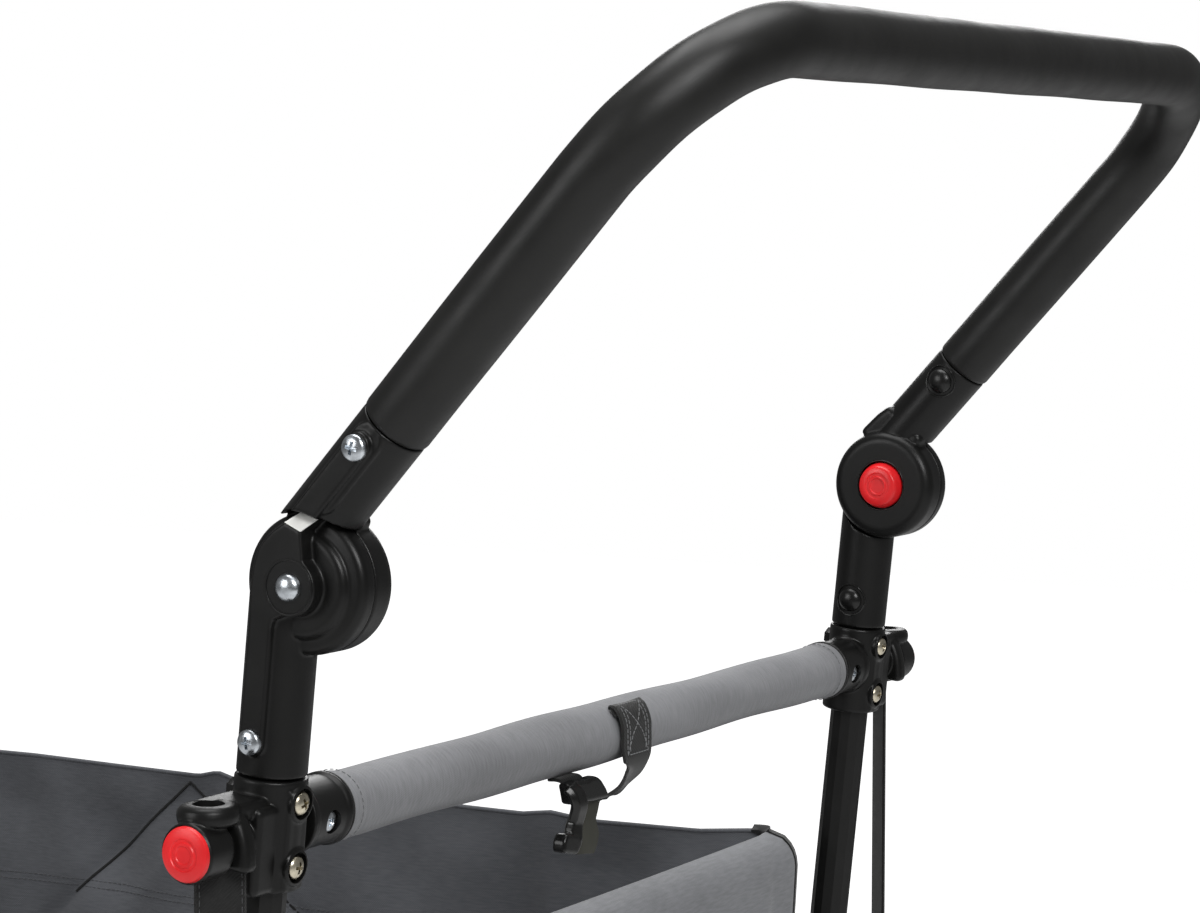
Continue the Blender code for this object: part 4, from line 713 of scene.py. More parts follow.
def swept(path, normal, radius_at, sides=56):
    """Rings round a path in a plane. The radius may change with place and turn."""
    rings = []
    for i, point in enumerate(path):
        along = (path[min(i + 1, len(path) - 1)] - path[max(i - 1, 0)]).normalized()
        across = normal.cross(along)
        turns = [2 * pi * k / sides for k in range(sides)]
        rings.append([point + radius_at(i, a) * (cos(a) * normal + sin(a) * across) for a in turns])
    return rings


def make_grip():
    """Foam sleeve over the whole handle, a little uneven, with tucked ends."""
    path = grip_path()
    normal = (UPPER.to_3x3() @ Vector((1, 0, 0))).normalized()

    def radius_at(i, a):
        wave = 0.00012 * sin(i * 0.9 + 2 * a) + 0.00010 * sin(i * 0.37 - a + 1.3)
        return GRIP_RADIUS + wave

    rings = swept(path, normal, radius_at)
    first = (path[1] - path[0]).normalized()
    last = (path[-2] - path[-1]).normalized()
    for base, direction, front in ((path[0], first, True), (path[-1], last, False)):
        ends = []
        for shrink, back in ((0.0118, 0.0003), (0.0138, 0.0000), (0.0146, 0.0008), (0.0148, 0.0020)):
            ring = rings[0] if front else rings[-1]
            ends.append([base + (p - base).normalized() * shrink + direction * back for p in ring])
        rings = ends + rings[1:] if front else rings[:-1] + ends[::-1]
    grip = piece("foam_grip", loft(rings), FOAM, "handle")
    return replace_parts(grip, "handle_grip")


def housing():
    """Upper half of the hinge: a thick disc with an eased inner face, and the arm's sleeve."""
    parting = HINGE_PARTING - 0.0003
    face = HINGE_INNER
    turns = [pi / 2 * k / 8 for k in range(9)]
    edge = 0.0056
    profile = [(0, face)]
    profile += [(HINGE_RADIUS - edge + edge * sin(a), face + edge * (1 - cos(a))) for a in turns]
    profile += [(HINGE_RADIUS, parting - 0.0005), (HINGE_RADIUS - 0.0005, parting), (0, parting)]
    disc = hinge_turned(profile)
    sleeve = rod(ARM_RADIUS, (HANDLE_OFFSET, 0, 0.004), (HANDLE_OFFSET, 0, GRIP_START - 0.0004), 64, 0.0008)
    sleeve = cut(sleeve, rod(PLATE_CLEAR, (0, parting, 0), (0, 0.03, 0), 96))
    return disc, sleeve


def plate_clearance():
    """The space that the lower arm's raised boss takes, as a tool to cut with."""
    return rod(PLATE_CLEAR, (0, -0.03, 0), (0, 0.03, 0), 96)


def make_upper_arms():
    """Upper half of the hinge with its rib, button, screw and cap."""
    disc, sleeve = housing()
    start, end = (HANDLE_OFFSET + 0.0004, 0.020), (HANDLE_OFFSET + 0.0004, ARM_SCREW + 0.0012)
    rib = plate(slot(start, end, PLATE_HALF, PLATE_HALF), 0.004, ARM_RADIUS + PLATE_PROUD)
    rib = cut(softened(rib, 0.0007, 2, 50), plate_clearance())
    outline = slot((HANDLE_OFFSET, 0.036), (HANDLE_OFFSET, ARM_SCREW + 0.004), 0.0072, 0.0072)
    pad = cut(plate(outline, 0.004, ARM_RADIUS - 0.0002), plate_clearance())
    flare = [(-0.0144, 0.0240), (-0.0130, 0.0330), (0.0130, 0.0330)]
    flare += [(0.0150, 0.0240), (0.0160, 0.0100), (-0.0100, 0.0100)]
    flare = [(HANDLE_OFFSET + x, z) for x, z in flare]
    blend = softened(plate(flare, -0.0125, HINGE_PARTING - 0.0008), 0.0030, 3, 20)
    body = fused(joined(disc, sleeve, rib, pad, blend), 0.00055, 6)
    recess = rod(BUTTON_RADIUS + 0.0009, (0, -0.03, 0), (0, HINGE_INNER + 0.0062, 0), 64)
    stem = rod(0.0084, (0, HINGE_INNER + 0.004, 0), (0, HINGE_INNER + 0.012, 0), 48)
    body = cut(body, recess, stem)
    pair("upper_arm_skin", in_frame(body, UPPER), PLASTIC, HANDLE, 40.0, "upper_arm")

    lip = aimed(washer_groove(BUTTON_RADIUS + 0.0012), (0, HINGE_INNER + 0.0001, 0), (0, 1, 0))
    pair("button_lip", in_frame(lip, UPPER), SOFT_PLASTIC, HANDLE)
    face = ARM_RADIUS + PLATE_PROUD
    place = (HANDLE_OFFSET + 0.0004, face, ARM_SCREW)
    screw = set_on(phillips_head(0.0053, 0.0030), place, (0, 1, 0), 0.5)
    pair("upper_screw", in_frame(screw, UPPER), ZINC, HANDLE)
    pair("upper_cap", in_frame(arm_cap(HANDLE_OFFSET, ARM_SCREW + 0.001), UPPER), SOFT_PLASTIC, HANDLE)


def arm_cap(x, z):
    """Domed cap in a round groove on the inner side of an arm sleeve."""
    cap = set_on(domed_cap(0.0064, 0.0036), (x, -ARM_RADIUS + 0.0008, z), (0, -1, 0))
    outer = ARM_RADIUS + 0.0001
    loop = []
    for a in around(72):
        wide, tall = 0.0081 * cos(a), 0.0081 * sin(a)
        loop.append((x + wide, -sqrt(outer ** 2 - wide ** 2), z + tall))
    return joined(cap, tube_ring(loop, 0.0005))


def tongue_outline(end):
    """Rib down the sleeve, widened to a boss under the bolt, and its upper edge."""
    half = PLATE_HALF
    outline = [(POST_OFFSET + half, -end), (POST_OFFSET + half, -0.016)]
    swell = [(POST_OFFSET + half, -0.014, 0), (0.0184, -0.0026, 0), (0.0166, 0.0113, 0), (0.0113, 0.0194, 0)]
    outline += [tuple(p.to_2d()) for p in smooth_path(swell + [(0.0045, 0.0251, 0)], 20)]
    outline += [(-0.0034, 0.0225), (-0.0054, 0.0111)]
    outline += arc((0, 0), 0.0118, radians(130), radians(280), 20)
    outline += [(POST_OFFSET - half - 0.0006, -0.0142), (POST_OFFSET - half, -0.0175)]
    outline += arc((POST_OFFSET, -end), half, pi, 2 * pi, 16)[:-1]
    return outline


def make_lower_arms():
    """Lower half of the hinge: a stepped shoulder outside, and a sleeve down the post."""
    top = HINGE_OUTER
    profile = [(0, HINGE_PARTING), (HINGE_RADIUS - 0.0005, HINGE_PARTING)]
    profile.append((HINGE_RADIUS, HINGE_PARTING + 0.0005))
    turns = [pi / 2 * k / 6 for k in range(7)]
    profile += [(HINGE_RADIUS - 0.0036 * (1 - cos(a)), top - 0.0070 + 0.0036 * sin(a)) for a in turns]
    profile += [(0.0222, top - 0.0031)]
    profile += [(0.0214 - 0.0032 * (1 - cos(a)), top - 0.0028 + 0.0028 * sin(a)) for a in turns]
    profile += [(0, top)]
    disc = hinge_turned(profile)
    sleeve = rod(ARM_RADIUS, (POST_OFFSET, 0, -LOWER_ARM_END), (POST_OFFSET, 0, -0.002), 64, 0.0006)
    clear = rod(HINGE_RADIUS + 0.0006, (0, -0.03, 0), (0, HINGE_PARTING, 0), 96)
    sleeve = cut(sleeve, clear)
    end = LOWER_ARM_END - 0.0140
    outer = ARM_RADIUS + PLATE_PROUD
    tongue = softened(plate(tongue_outline(end), 0.004, outer), 0.0006, 2, 50)
    edge, tip = ((0.0045, 0.0251), (-0.0034, 0.0225)), ((0.0004, 0.0292), (-0.0078, 0.0277))

    def slope(top, bottom):
        rings = []
        for ((ax, az), (bx, bz)), face in ((edge, outer), (tip, outer - 0.0047)):
            high, low = face + top, face + bottom if bottom else 0.004
            rings.append([(ax, high, az), (bx, high, bz), (bx, low, bz), (ax, low, az)])
        return loft(rings)

    body = fused(joined(disc, sleeve, tongue, slope(-0.0004, 0)), 0.00055, 4)
    post = rod(POST_RADIUS + 0.0003, (POST_OFFSET, 0, -LOWER_ARM_END - 0.01), (POST_OFFSET, 0, -0.040), 32)
    body = cut(body, post)
    pair("lower_arm_skin", in_frame(body, LOWER), PLASTIC, REAR, 40.0, "lower_arm")

    # The steel plate's sloping end, coloured near white: a painted highlight of the light reflected off it.
    ledge = softened(slope(0.0001, -0.0010), 0.0002, 2)
    pair("plate_end", in_frame(ledge, LOWER), LEDGE_HIGHLIGHT_PAINT, REAR, 30.0)
    crease = [(0.0108 * cos(a), outer + 0.0001, 0.0108 * sin(a)) for a in around(64)]
    pair("boss_ring", in_frame(tube_ring(crease, 0.0004), LOWER), PLASTIC, REAR)

    dome = [(0.0055 * sin(a), outer + 0.0007 + 0.0030 * cos(a)) for a in (0.0, 0.3, 0.6, 0.9, 1.2, 1.5)]
    profile = [(0, dome[0][1])] + dome[1:] + [(0.0057, outer - 0.0002), (0, outer - 0.0002)]
    bolt = hinge_turned(profile[::-1], 48)
    shank = rod(0.0030, (0, -0.004, 0), (0, outer, 0), 24)
    pair("bolt_head", in_frame(joined(bolt, shank), LOWER), ZINC, REAR, 40.0, "pivot_bolt")

    screw = set_on(phillips_head(0.0052, 0.0028), (POST_OFFSET, outer, -LOWER_SCREW), (0, 1, 0), 0.2)
    pair("lower_screw", in_frame(screw, LOWER), ZINC, REAR)
    pair("lower_cap", in_frame(arm_cap(POST_OFFSET, -LOWER_SCREW), LOWER), SOFT_PLASTIC, REAR)


def make_buttons():
    """Red push buttons of the hinges and of the pole sockets, with stepped faces."""
    face = HINGE_INNER - BUTTON_PROUD
    profile = [(0, face + 0.0004), (0.0038, face + 0.0004), (0.0042, face - 0.0001), (0.0049, face - 0.0001)]
    profile += [(0.0053, face + 0.0004), (0.0066, face + 0.0004), (0.0069, face), (0.0097, face)]
    profile += [(0.0103, face + 0.0005), (0.0109, face + 0.0018), (0.0117, face + 0.0042)]
    profile += [(BUTTON_RADIUS, face + 0.0056), (BUTTON_RADIUS, face + 0.0080), (0, face + 0.0080)]
    cap = hinge_turned(profile)
    stem = rod(0.0080, (0, face + 0.0079, 0), (0, HINGE_PARTING - 0.0030, 0), 48)
    shape = in_frame(joined(cap, stem), UPPER)
    made = pair("hinge_button", shape, RED, ("angle_lock_left", "angle_lock_right"), 40.0, "angle_button")

    face = KNOB_END + 0.0017
    profile = [(0, face - 0.0004), (0.0034, face - 0.0004), (0.0038, face), (0.0048, face)]
    profile += [(0.0052, face - 0.0004), (0.0062, face - 0.0004), (0.0066, face)]
    profile += [(0.0092, face - 0.0002), (0.0106, face - 0.0008)]
    profile += [(0.0111, face - 0.0018), (0.0111, face - 0.0032), (0.0030, face - 0.0032)]
    profile += [(0.0030, SOCKET_OUT + 0.0068), (0, SOCKET_OUT + 0.0068)]
    pin = aimed(turned(profile), (RAIL.x, PLANE, RAIL.z - KNOB_DROP), (0, 1, 0))
    bodies = ("canopy_release_left", "canopy_release_right")
    for button in pair("release_button", pin, RED, bodies, 40.0, "socket_pin"):
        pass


# Corner brackets


def rectangle(low_x, low_z, high_x, high_z):
    return [(low_x, low_z), (high_x, low_z), (high_x, high_z), (low_x, high_z)]


def bracket_parts():
    """Collar, block, rail cup and screw bosses of one bracket, in the lower arm's frame."""
    x = POST_OFFSET
    top, bottom = -LOWER_ARM_END - 0.0009, -BRACKET_END - 0.0023
    collar = rod(0.0149, (x, 0, bottom), (x, 0, top), 64, 0.0010)
    rail = LOWER.inverted() @ Vector((RAIL.x, PLANE, RAIL.z))
    rings = [(0.0, CUP_END), (0.0150, CUP_END), (0.0154, CUP_END - 0.0008), (0.0150, CUP_END - 0.0026)]
    rings += [(0.0143, CUP_END - 0.0032), (0.0143, 0.0164), (0.0150, 0.0158), (0.0152, 0.0120), (0.0, 0.0120)]
    cup = aimed(turned(rings[::-1], 64), (rail.x, 0, rail.z), (0, -1, 0))
    block = softened(plate(rectangle(0.0010, bottom, x + 0.0118, top - 0.0090), 0.0, 0.0224), 0.0028)
    column = softened(plate(rectangle(-0.0022, bottom, x, top - 0.0030), -0.0070, 0.0070), 0.0016)
    bosses = [rod(0.0076, (x, y, z), (-0.0034, y, z), 48, 0.0008) for y, z in CLAMP_SCREWS]
    return [collar, cup, block, column, *bosses], rail, x


def bracket_tools(rail, x):
    """What each bracket has cut out: bores for the post, rail and cover, and the screws' seats."""
    tools = [rod(POST_RADIUS + 0.0003, (x, 0, -BRACKET_END - 0.01), (x, 0, -0.05), 32)]
    tools.append(rod(0.0113, (rail.x, -0.0500, rail.z), (rail.x, -0.0160, rail.z), 32))
    cover_end = (rail.x, 0.0010 - CUP_END, rail.z)
    tools.append(rod(COVER_RADIUS + 0.0004, (rail.x, -0.0500, rail.z), cover_end, 48))
    return tools + [rod(0.0063, (-0.0006, y, z), (-0.0300, y, z), 48) for y, z in CLAMP_SCREWS]


def clamp_screw(y, z, spin):
    return set_on(phillips_head(0.0048, 0.0036), (-0.0010, y, z), (-1, 0, 0), spin)


def make_brackets():
    """Rear brackets with the pole socket: a ring over a round knob, and a flange behind the knob."""
    parts, rail, x = bracket_parts()
    up = (LOWER.inverted().to_3x3() @ Vector((0, 0, 1))).normalized()
    low = rail.z - KNOB_DROP
    base, crown = -0.1118, -0.0850
    curve = [(rail.x + 0.0160 * cos(a), base + (crown - base) * sin(a)) for a in np.linspace(0, pi, 33)]
    flange = softened(plate(curve, 0.0262, 0.0352), 0.0030, 4)
    neck = rod(0.0104, (rail.x, 0.010, low + 0.001), (rail.x, 0.030, low + 0.001), 64)
    profile = [(0, 0.026), (KNOB_NECK, 0.026), (KNOB_NECK, 0.0372), (KNOB_RADIUS - 0.0008, 0.0376)]
    profile += [(KNOB_RADIUS, 0.0388), (KNOB_RADIUS, KNOB_END - 0.0014)]
    profile += [(KNOB_RADIUS - 0.0014, KNOB_END), (0, KNOB_END)]
    knob = aimed(turned(profile, 96), (rail.x, 0, low), (0, 1, 0))
    socket = Vector((rail.x, SOCKET_OUT, rail.z)) + up * (HINGE.z - SOCKET_TOP - RAIL.z)
    ring = rod(SOCKET_RING, socket - up * 0.0080, socket + up * 0.0004, 64, 0.0038)
    web = softened(plate(rectangle(-0.0100, -0.0078, 0.0100, 0.0002), 0.010 - SOCKET_OUT, 0.0), 0.0026)
    bmesh.ops.translate(web, verts=web.verts, vec=socket)
    body = fused(joined(*parts, flange, neck, knob, ring, web), 0.00052, 5)
    bore = rod(SOCKET_BORE / 2, socket - up * 0.0150, socket + up * 0.02, 48)
    pocket = rod(0.0113, (rail.x, KNOB_END - 0.0042, low), (rail.x, KNOB_END + 0.01, low), 48)
    pin_bore = rod(0.0033, (rail.x, SOCKET_OUT, low), (rail.x, KNOB_END + 0.01, low), 24)
    cup_screw = Vector((0.0012, -0.0262, rail.z - 0.0012))
    cup_seat = rod(0.0050, cup_screw, (-0.0300, cup_screw.y, cup_screw.z), 32)
    tools = bracket_tools(rail, x)
    body = cut(body, *tools[:3], bore, pocket, pin_bore, cup_seat, *tools[3:])
    pair("rear_bracket_skin", in_frame(body, LOWER), PLASTIC, REAR, 40.0, "rear_bracket")
    for index, (y, z) in enumerate(CLAMP_SCREWS):
        pair(f"clamp_screw_{index}", in_frame(clamp_screw(y, z, 0.4 + index), LOWER), NICKEL, REAR)
    screw = set_on(phillips_head(0.0043, 0.0018), (0.0013, cup_screw.y, cup_screw.z), (-1, 0, 0), 0.9)
    pair("cup_screw", in_frame(screw, LOWER), ZINC, REAR)
    profile = eased([(0, -0.001), (0.0046, -0.001), (0.0046, 0.0030), (0, 0.0036)], 0.0006)
    nut = aimed(turned(profile, 6), (x + 0.0152, 0.0010, -0.0882), (1, 0, 0))
    pair("clamp_nut", in_frame(nut, LOWER), SOFT_PLASTIC, REAR)


def make_front_brackets():
    """The same clamps without a pole socket, turned to face forward."""
    parts, rail, x = bracket_parts()
    body = fused(joined(*parts), 0.0007, 5)
    body = cut(body, *bracket_tools(rail, x))
    screws = [clamp_screw(y, z, index) for index, (y, z) in enumerate(CLAMP_SCREWS)]
    pair("front_bracket_skin", to_front(in_frame(body, LOWER)), PLASTIC, FRONT, 40.0, "front_bracket")
    pair("front_clamp_screws", to_front(in_frame(joined(*screws), LOWER)), NICKEL, FRONT)


def to_front(shape):
    """Mirrors a rear shape to the front frame."""
    bmesh.ops.scale(shape, verts=shape.verts, vec=(-1, 1, 1))
    bmesh.ops.translate(shape, verts=shape.verts, vec=(REAR_X + FRONT_X, 0, 0))
    bmesh.ops.reverse_faces(shape, faces=shape.faces)
    return shape


# Fabric sleeves of the end rails


def make_rail_covers():
    """Loose cloth sleeves: soft wrinkles, a sewn seam below, and a stitched hem at both ends."""
    reach = PLANE - CUP_END - 0.0004
    count, sides = 190, 72
    ends = (("rear", RAIL, "rear_frame", 0.0), ("front", FRONT_RAIL, "front_frame", 2.1))
    for name, rail, body, phase in ends:
        rings = []
        for i in range(count + 1):
            y = -reach + 2 * reach * i / count
            near_end = min(reach - y, reach + y)
            hem = 0.0006 if near_end < 0.0080 else 0.0
            pinch = -0.0005 * exp(-((near_end - 0.0088) / 0.0012) ** 2)
            ring = []
            for k in range(sides):
                a = 2 * pi * k / sides
                slack = 0.00045 * sin(23 * y + phase + 1.5 * sin(2 * a))
                slack += 0.0003 * sin(61 * y + 3 * a + phase)
                slack += 0.0009 * exp(-((a - 1.5 * pi) / 0.5) ** 2) * sin(9 * y + phase)
                radius = COVER_RADIUS + hem + pinch + slack * min(1.0, near_end / 0.02)
                ring.append((rail.x + radius * cos(a), y, rail.z + radius * sin(a)))
            rings.append(ring)
        inner = []
        for ring in (rings[-1], rings[0]):
            centre = Vector((rail.x, ring[0][1], rail.z))
            inner.append([centre + (Vector(p) - centre).normalized() * 0.0116 for p in ring])
        cover = piece(f"{name}_rail_sleeve", loft(rings + inner, closed=True), COVER_CLOTH, body, 60.0)
        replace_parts(cover, f"{name}_rail_cover")
        for side in (1, -1):
            loop = circle(rail, side * (reach - 0.0072), 0.0148, np.linspace(0, 2 * pi, 90))
            stitches(f"{name}_sleeve_stitch_{side_name(side)}", loop, 0.0030, THREAD, body, 0.00022)
            tape = tube_ring(circle(rail, side * (reach - 0.0003), 0.01455, around(64)), 0.0007)
            piece(f"{name}_sleeve_edge_{side_name(side)}", tape, BINDING, body)


def circle(rail, y, radius, turns):
    """Points round a rail's axis at a place along it."""
    return [Vector((rail.x + radius * cos(a), y, rail.z + radius * sin(a))) for a in turns]


def tube_ring(points, radius, sides=10):
    """A thin closed tube through points on a circle about Y."""
    points = [Vector(p) for p in points]
    centre = sum(points, Vector()) / len(points)
    rings = []
    for p in points:
        out = (p - centre).normalized()
        rings.append([p + radius * (cos(a) * out + sin(a) * Vector((0, 1, 0))) for a in around(sides)])
    return loft(rings, closed=True)


def stitches(name, points, pitch, finish, body, radius=0.00028, share=0.72):
    """A row of single thread stitches along a line of points."""
    points = [Vector(p) for p in points]
    lengths = [0.0]
    for a, b in zip(points, points[1:]):
        lengths.append(lengths[-1] + (b - a).length)

    def at(distance):
        index = min(int(np.searchsorted(lengths, distance)), len(points) - 1)
        index = max(index, 1)
        span = lengths[index] - lengths[index - 1] or 1.0
        return points[index - 1].lerp(points[index], (distance - lengths[index - 1]) / span)

    verts, faces = [], []
    sides = 6
    for n in range(max(1, int(lengths[-1] / pitch))):
        start = at(n * pitch)
        end = at(n * pitch + pitch * share)
        along = end - start
        if along.length < 1e-6:
            continue
        turn = along.to_track_quat("Z", "X").to_matrix()
        base = len(verts)
        for t, r in ((0.0, 0.35), (0.15, 0.9), (0.5, 1.0), (0.85, 0.9), (1.0, 0.35)):
            for k in range(sides):
                a = 2 * pi * k / sides
                verts.append(start + along * t + turn @ Vector((radius * r * cos(a), radius * r * sin(a), 0)))
        for row in range(4):
            low = base + row * sides
            for k in range(sides):
                m = (k + 1) % sides
                faces.append((low + k, low + m, low + sides + m, low + sides + k))
        faces.append(tuple(base + k for k in reversed(range(sides))))
        faces.append(tuple(base + 4 * sides + k for k in range(sides)))
    mesh = bpy.data.meshes.new(name)
    mesh.from_pydata([tuple(v) for v in verts], [], faces)
    mesh.materials.append(finish)
    mesh.shade_smooth()
    made = new_object(name, mesh)
    if body:
        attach(made, body)
    return made


# Straps


def smooth_path(points, count):
    """Catmull-Rom curve through the points."""
    points = [np.array(p, float) for p in points]
    ends = [2 * points[0] - points[1]] + points + [2 * points[-1] - points[-2]]
    made = []
    for i in range(1, len(ends) - 2):
        a, b, c, d = ends[i - 1:i + 3]
        steps = max(2, count // (len(points) - 1))
        for k in range(steps):
            t = k / steps
            bend = (2 * a - 5 * b + 4 * c - d) * t * t
            made.append(0.5 * (2 * b + (c - a) * t + bend + (3 * b - a - 3 * c + d) * t ** 3))
    made.append(points[-1])
    return [Vector(p) for p in made]


def ribbon(path, across, width, thickness, columns=8):
    """A strap along a path, with rounded edges. across gives the width direction at each point."""
    rings = []
    widths = width if isinstance(width, list) else [width] * len(path)
    for i, point in enumerate(path):
        along = (path[min(i + 1, len(path) - 1)] - path[max(i - 1, 0)]).normalized()
        side = Vector(across[i])
        side = (side - along * side.dot(along)).normalized()
        through = along.cross(side)
        half, thin = widths[i] / 2, thickness / 2
        steps = [side * (half - thin) * (1 - 2 * k / columns) for k in range(columns + 1)]
        ring = [point + step + through * thin for step in steps] + [point - side * half]
        ring += [point - step - through * thin for step in steps] + [point + side * half]
        rings.append(ring)
    return loft(rings)


def make_load_straps():
    """Flat webbing from each pole socket down to its foot."""
    low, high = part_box("load_strap_left")
    centre = (low + high) / 2
    across = Vector((cos(STRAP_TURN), sin(STRAP_TURN), 0))
    path = [Vector((centre.x, centre.y, low.z + (high.z - low.z) * k / 60)) for k in range(61)]
    strap = ribbon(path, [across] * len(path), STRAP_WIDTH, 0.0018)
    for item in pair("load_webbing", strap, WEBBING, REAR, 40.0, "load_strap"):
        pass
    through = Vector((0, 0, 1)).cross(across)
    for shift in (-1, 1):
        line = [p + across * shift * 0.0085 + through * 0.00095 for p in path]
        for side in (1, -1):
            name = f"load_stitch_{side_name(side)}_{'a' if shift < 0 else 'b'}"
            row = [Vector((p.x, side * p.y, p.z)) for p in line]
            stitches(name, row, 0.0035, DARK_THREAD, "rear_frame", 0.0002)


def make_rail_strap():
    """Webbing sewn on the rail's rear side, that turns its edge to the rear and runs into the buckle."""
    radius = COVER_RADIUS + 0.0016
    rear = RAIL.x - radius - 0.0004
    wound = (
        (144, -0.0014, 0.0), (134, -0.0014, 0.0), (127, -0.0014, 0.0008), (134, -0.0012, 0.0018),
        (144, -0.0010, 0.0018), (156, -0.0012, 0.0013), (168, -0.0014, 0.0008), (180, -0.0017, 0.0004),
    )
    points = [(on_rail(radians(a), y, radius + lift), (0, 1, 0)) for a, y, lift in wound]
    points += [
        (Vector((rear, -0.0018, 0.7765)), (0, 1, 0)),
        (Vector((rear, -0.0017, 0.7710)), (-0.04, 1, 0)),
        (Vector((rear + 0.0012, -0.0006, 0.7655)), (-0.14, 1, 0)),
        (Vector((rear + 0.0034, 0.0025, 0.7608)), (-0.30, 0.93, 0.10)),
        (Vector((rear + 0.0054, 0.0070, 0.7566)), (-0.42, 0.89, 0.15)),
        (Vector((rear + 0.0095, 0.0120, 0.7532)), (-0.49, 0.855, 0.17)),
        (Vector((rear + 0.0112, 0.0138, 0.7526)), (-0.49, 0.855, 0.17)),
    ]
    path = smooth_path([p for p, _ in points], 120)
    turns = smooth_path([a for _, a in points], 120)
    last = len(path) - 1
    widths = [0.0276 - 0.0036 * max(0.0, (i / last - 0.62) / 0.38) for i in range(last + 1)]
    strap = piece("rail_webbing", ribbon(path, turns, widths, 0.0016), WEBBING, "rear_frame", 40.0)
    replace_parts(strap, "rail_strap")
    box_stitch(path, turns)
    under = RAIL.z - COVER_RADIUS
    second = [(-0.0020, -0.0010), (-0.0060, -0.0008), (-0.0088, -0.0014)]
    second += [(-0.0102, -0.0036), (-0.0106, -0.0086)]
    path = smooth_path([(RAIL.x + x, 0.0468, under + z) for x, z in second], 30)
    end = ribbon(path, [(0, 1, 0)] * len(path), 0.0186, 0.0016)
    piece("rail_webbing_end", end, WEBBING, "rear_frame", 40.0)


def on_rail(turn, y, radius):
    return Vector((RAIL.x + radius * cos(turn), y, RAIL.z + radius * sin(turn)))


def box_stitch(path, turns):
    """A sewn box with a cross in it, over the webbing on the rail's rear side."""
    first = max(range(len(path) // 2), key=lambda i: path[i].z) + 3
    low = min(range(len(path)), key=lambda i: abs(path[i].z - 0.7728) + (1 if i < first else 0))
    half = 0.0098

    def run(a, b, steps=30):
        line = []
        for k in range(steps + 1):
            t = k / steps
            at, shift = a[0] + (b[0] - a[0]) * t, a[1] + (b[1] - a[1]) * t
            i = min(int(at), len(path) - 2)
            point = path[i].lerp(path[i + 1], at - i)
            along = (path[i + 1] - path[i]).normalized()
            side = turns[i].normalized()
            out = along.cross(side).normalized()
            if out.dot(point - Vector((RAIL.x, point.y, RAIL.z))) < 0:
                out = -out
            line.append(point + side * shift + out * 0.0009)
        return line

    corners = [(low, -half), (low, half), (first, half), (first, -half)]
    lines = [run(corners[i], corners[(i + 1) % 4]) for i in range(4)]
    lines += [run(corners[0], corners[2]), run(corners[1], corners[3])]
    lines += [run((low - 2, side * (half - 0.0024)), (first + 2, side * (half - 0.0024))) for side in (1, -1)]
    for index, line in enumerate(lines):
        stitches(f"box_stitch_{index}", line, 0.0026, THREAD, "rear_frame", 0.00026, 0.8)


def make_buckle():
    """Snap hook on the rail's rear side: an arched head, a glossy curved hook and a flat tab."""
    axis = joint_place("buckle_swing")
    plane = RAIL.x - 0.0132
    head = [(-0.0083, 0.0086), (-0.0004, 0.0090), (0.0106, 0.0082), (0.0140, 0.0088), (0.0176, 0.0087)]
    head += [(0.0206, 0.0076), (0.0230, 0.0060), (0.0269, 0.0021), (0.0299, -0.0021), (0.0277, -0.0030)]
    head += [(0.0144, -0.0026), (-0.0050, -0.0012), (-0.0066, 0.0040)]
    tab = [(0.0070, -0.0006), (0.0283, -0.0026), (0.0262, -0.0055), (0.0250, -0.0085), (0.0232, -0.0121)]
    tab += [(0.0246, -0.0161), (0.0261, -0.0196), (0.0244, -0.0243), (0.0214, -0.0281), (0.0052, -0.0259)]
    tab += [(0.0073, -0.0203), (0.0100, -0.0120)]
    hook_line = [(-0.0050, -0.0020, 0.0073), (-0.0038, -0.0052, 0.0036), (-0.0026, -0.0060, -0.0010)]
    hook_line += [(-0.0020, -0.0046, -0.0060), (-0.0028, -0.0036, -0.0100), (-0.0048, -0.0042, -0.0132)]
    hook_line += [(-0.0070, -0.0050, -0.0156)]
    toe = [(-0.0159, -0.0122), (-0.0009, -0.0152), (-0.0030, -0.0197), (-0.0068, -0.0232)]
    toe += [(-0.0188, -0.0203), (-0.0184, -0.0155)]

    def placed(shape):
        shape.transform(Matrix.Rotation(-pi / 2, 4, "Z"))
        bmesh.ops.translate(shape, verts=shape.verts, vec=(plane, axis.y, axis.z))
        return shape

    body = placed(softened(plate(head, -0.0034, 0.0024), 0.0013, 4))
    flat = placed(softened(plate(tab, 0.0000, 0.0024), 0.0005))
    line = smooth_path(hook_line, 40)
    hook = ribbon(line, [(1, 0, 0)] * len(line), 0.0124, 0.0050)
    block = softened(plate(toe, -0.0078, -0.0010), 0.0012, 4)
    body = fused(joined(body, placed(joined(hook, block))), 0.0005, 5)
    made = piece("buckle_head", body, SOFT_PLASTIC, "buckle", 60.0)
    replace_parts(made, "strap_buckle")
    piece("buckle_tab", flat, OLIVE_PLASTIC, "buckle", 30.0)


# Fabric tub


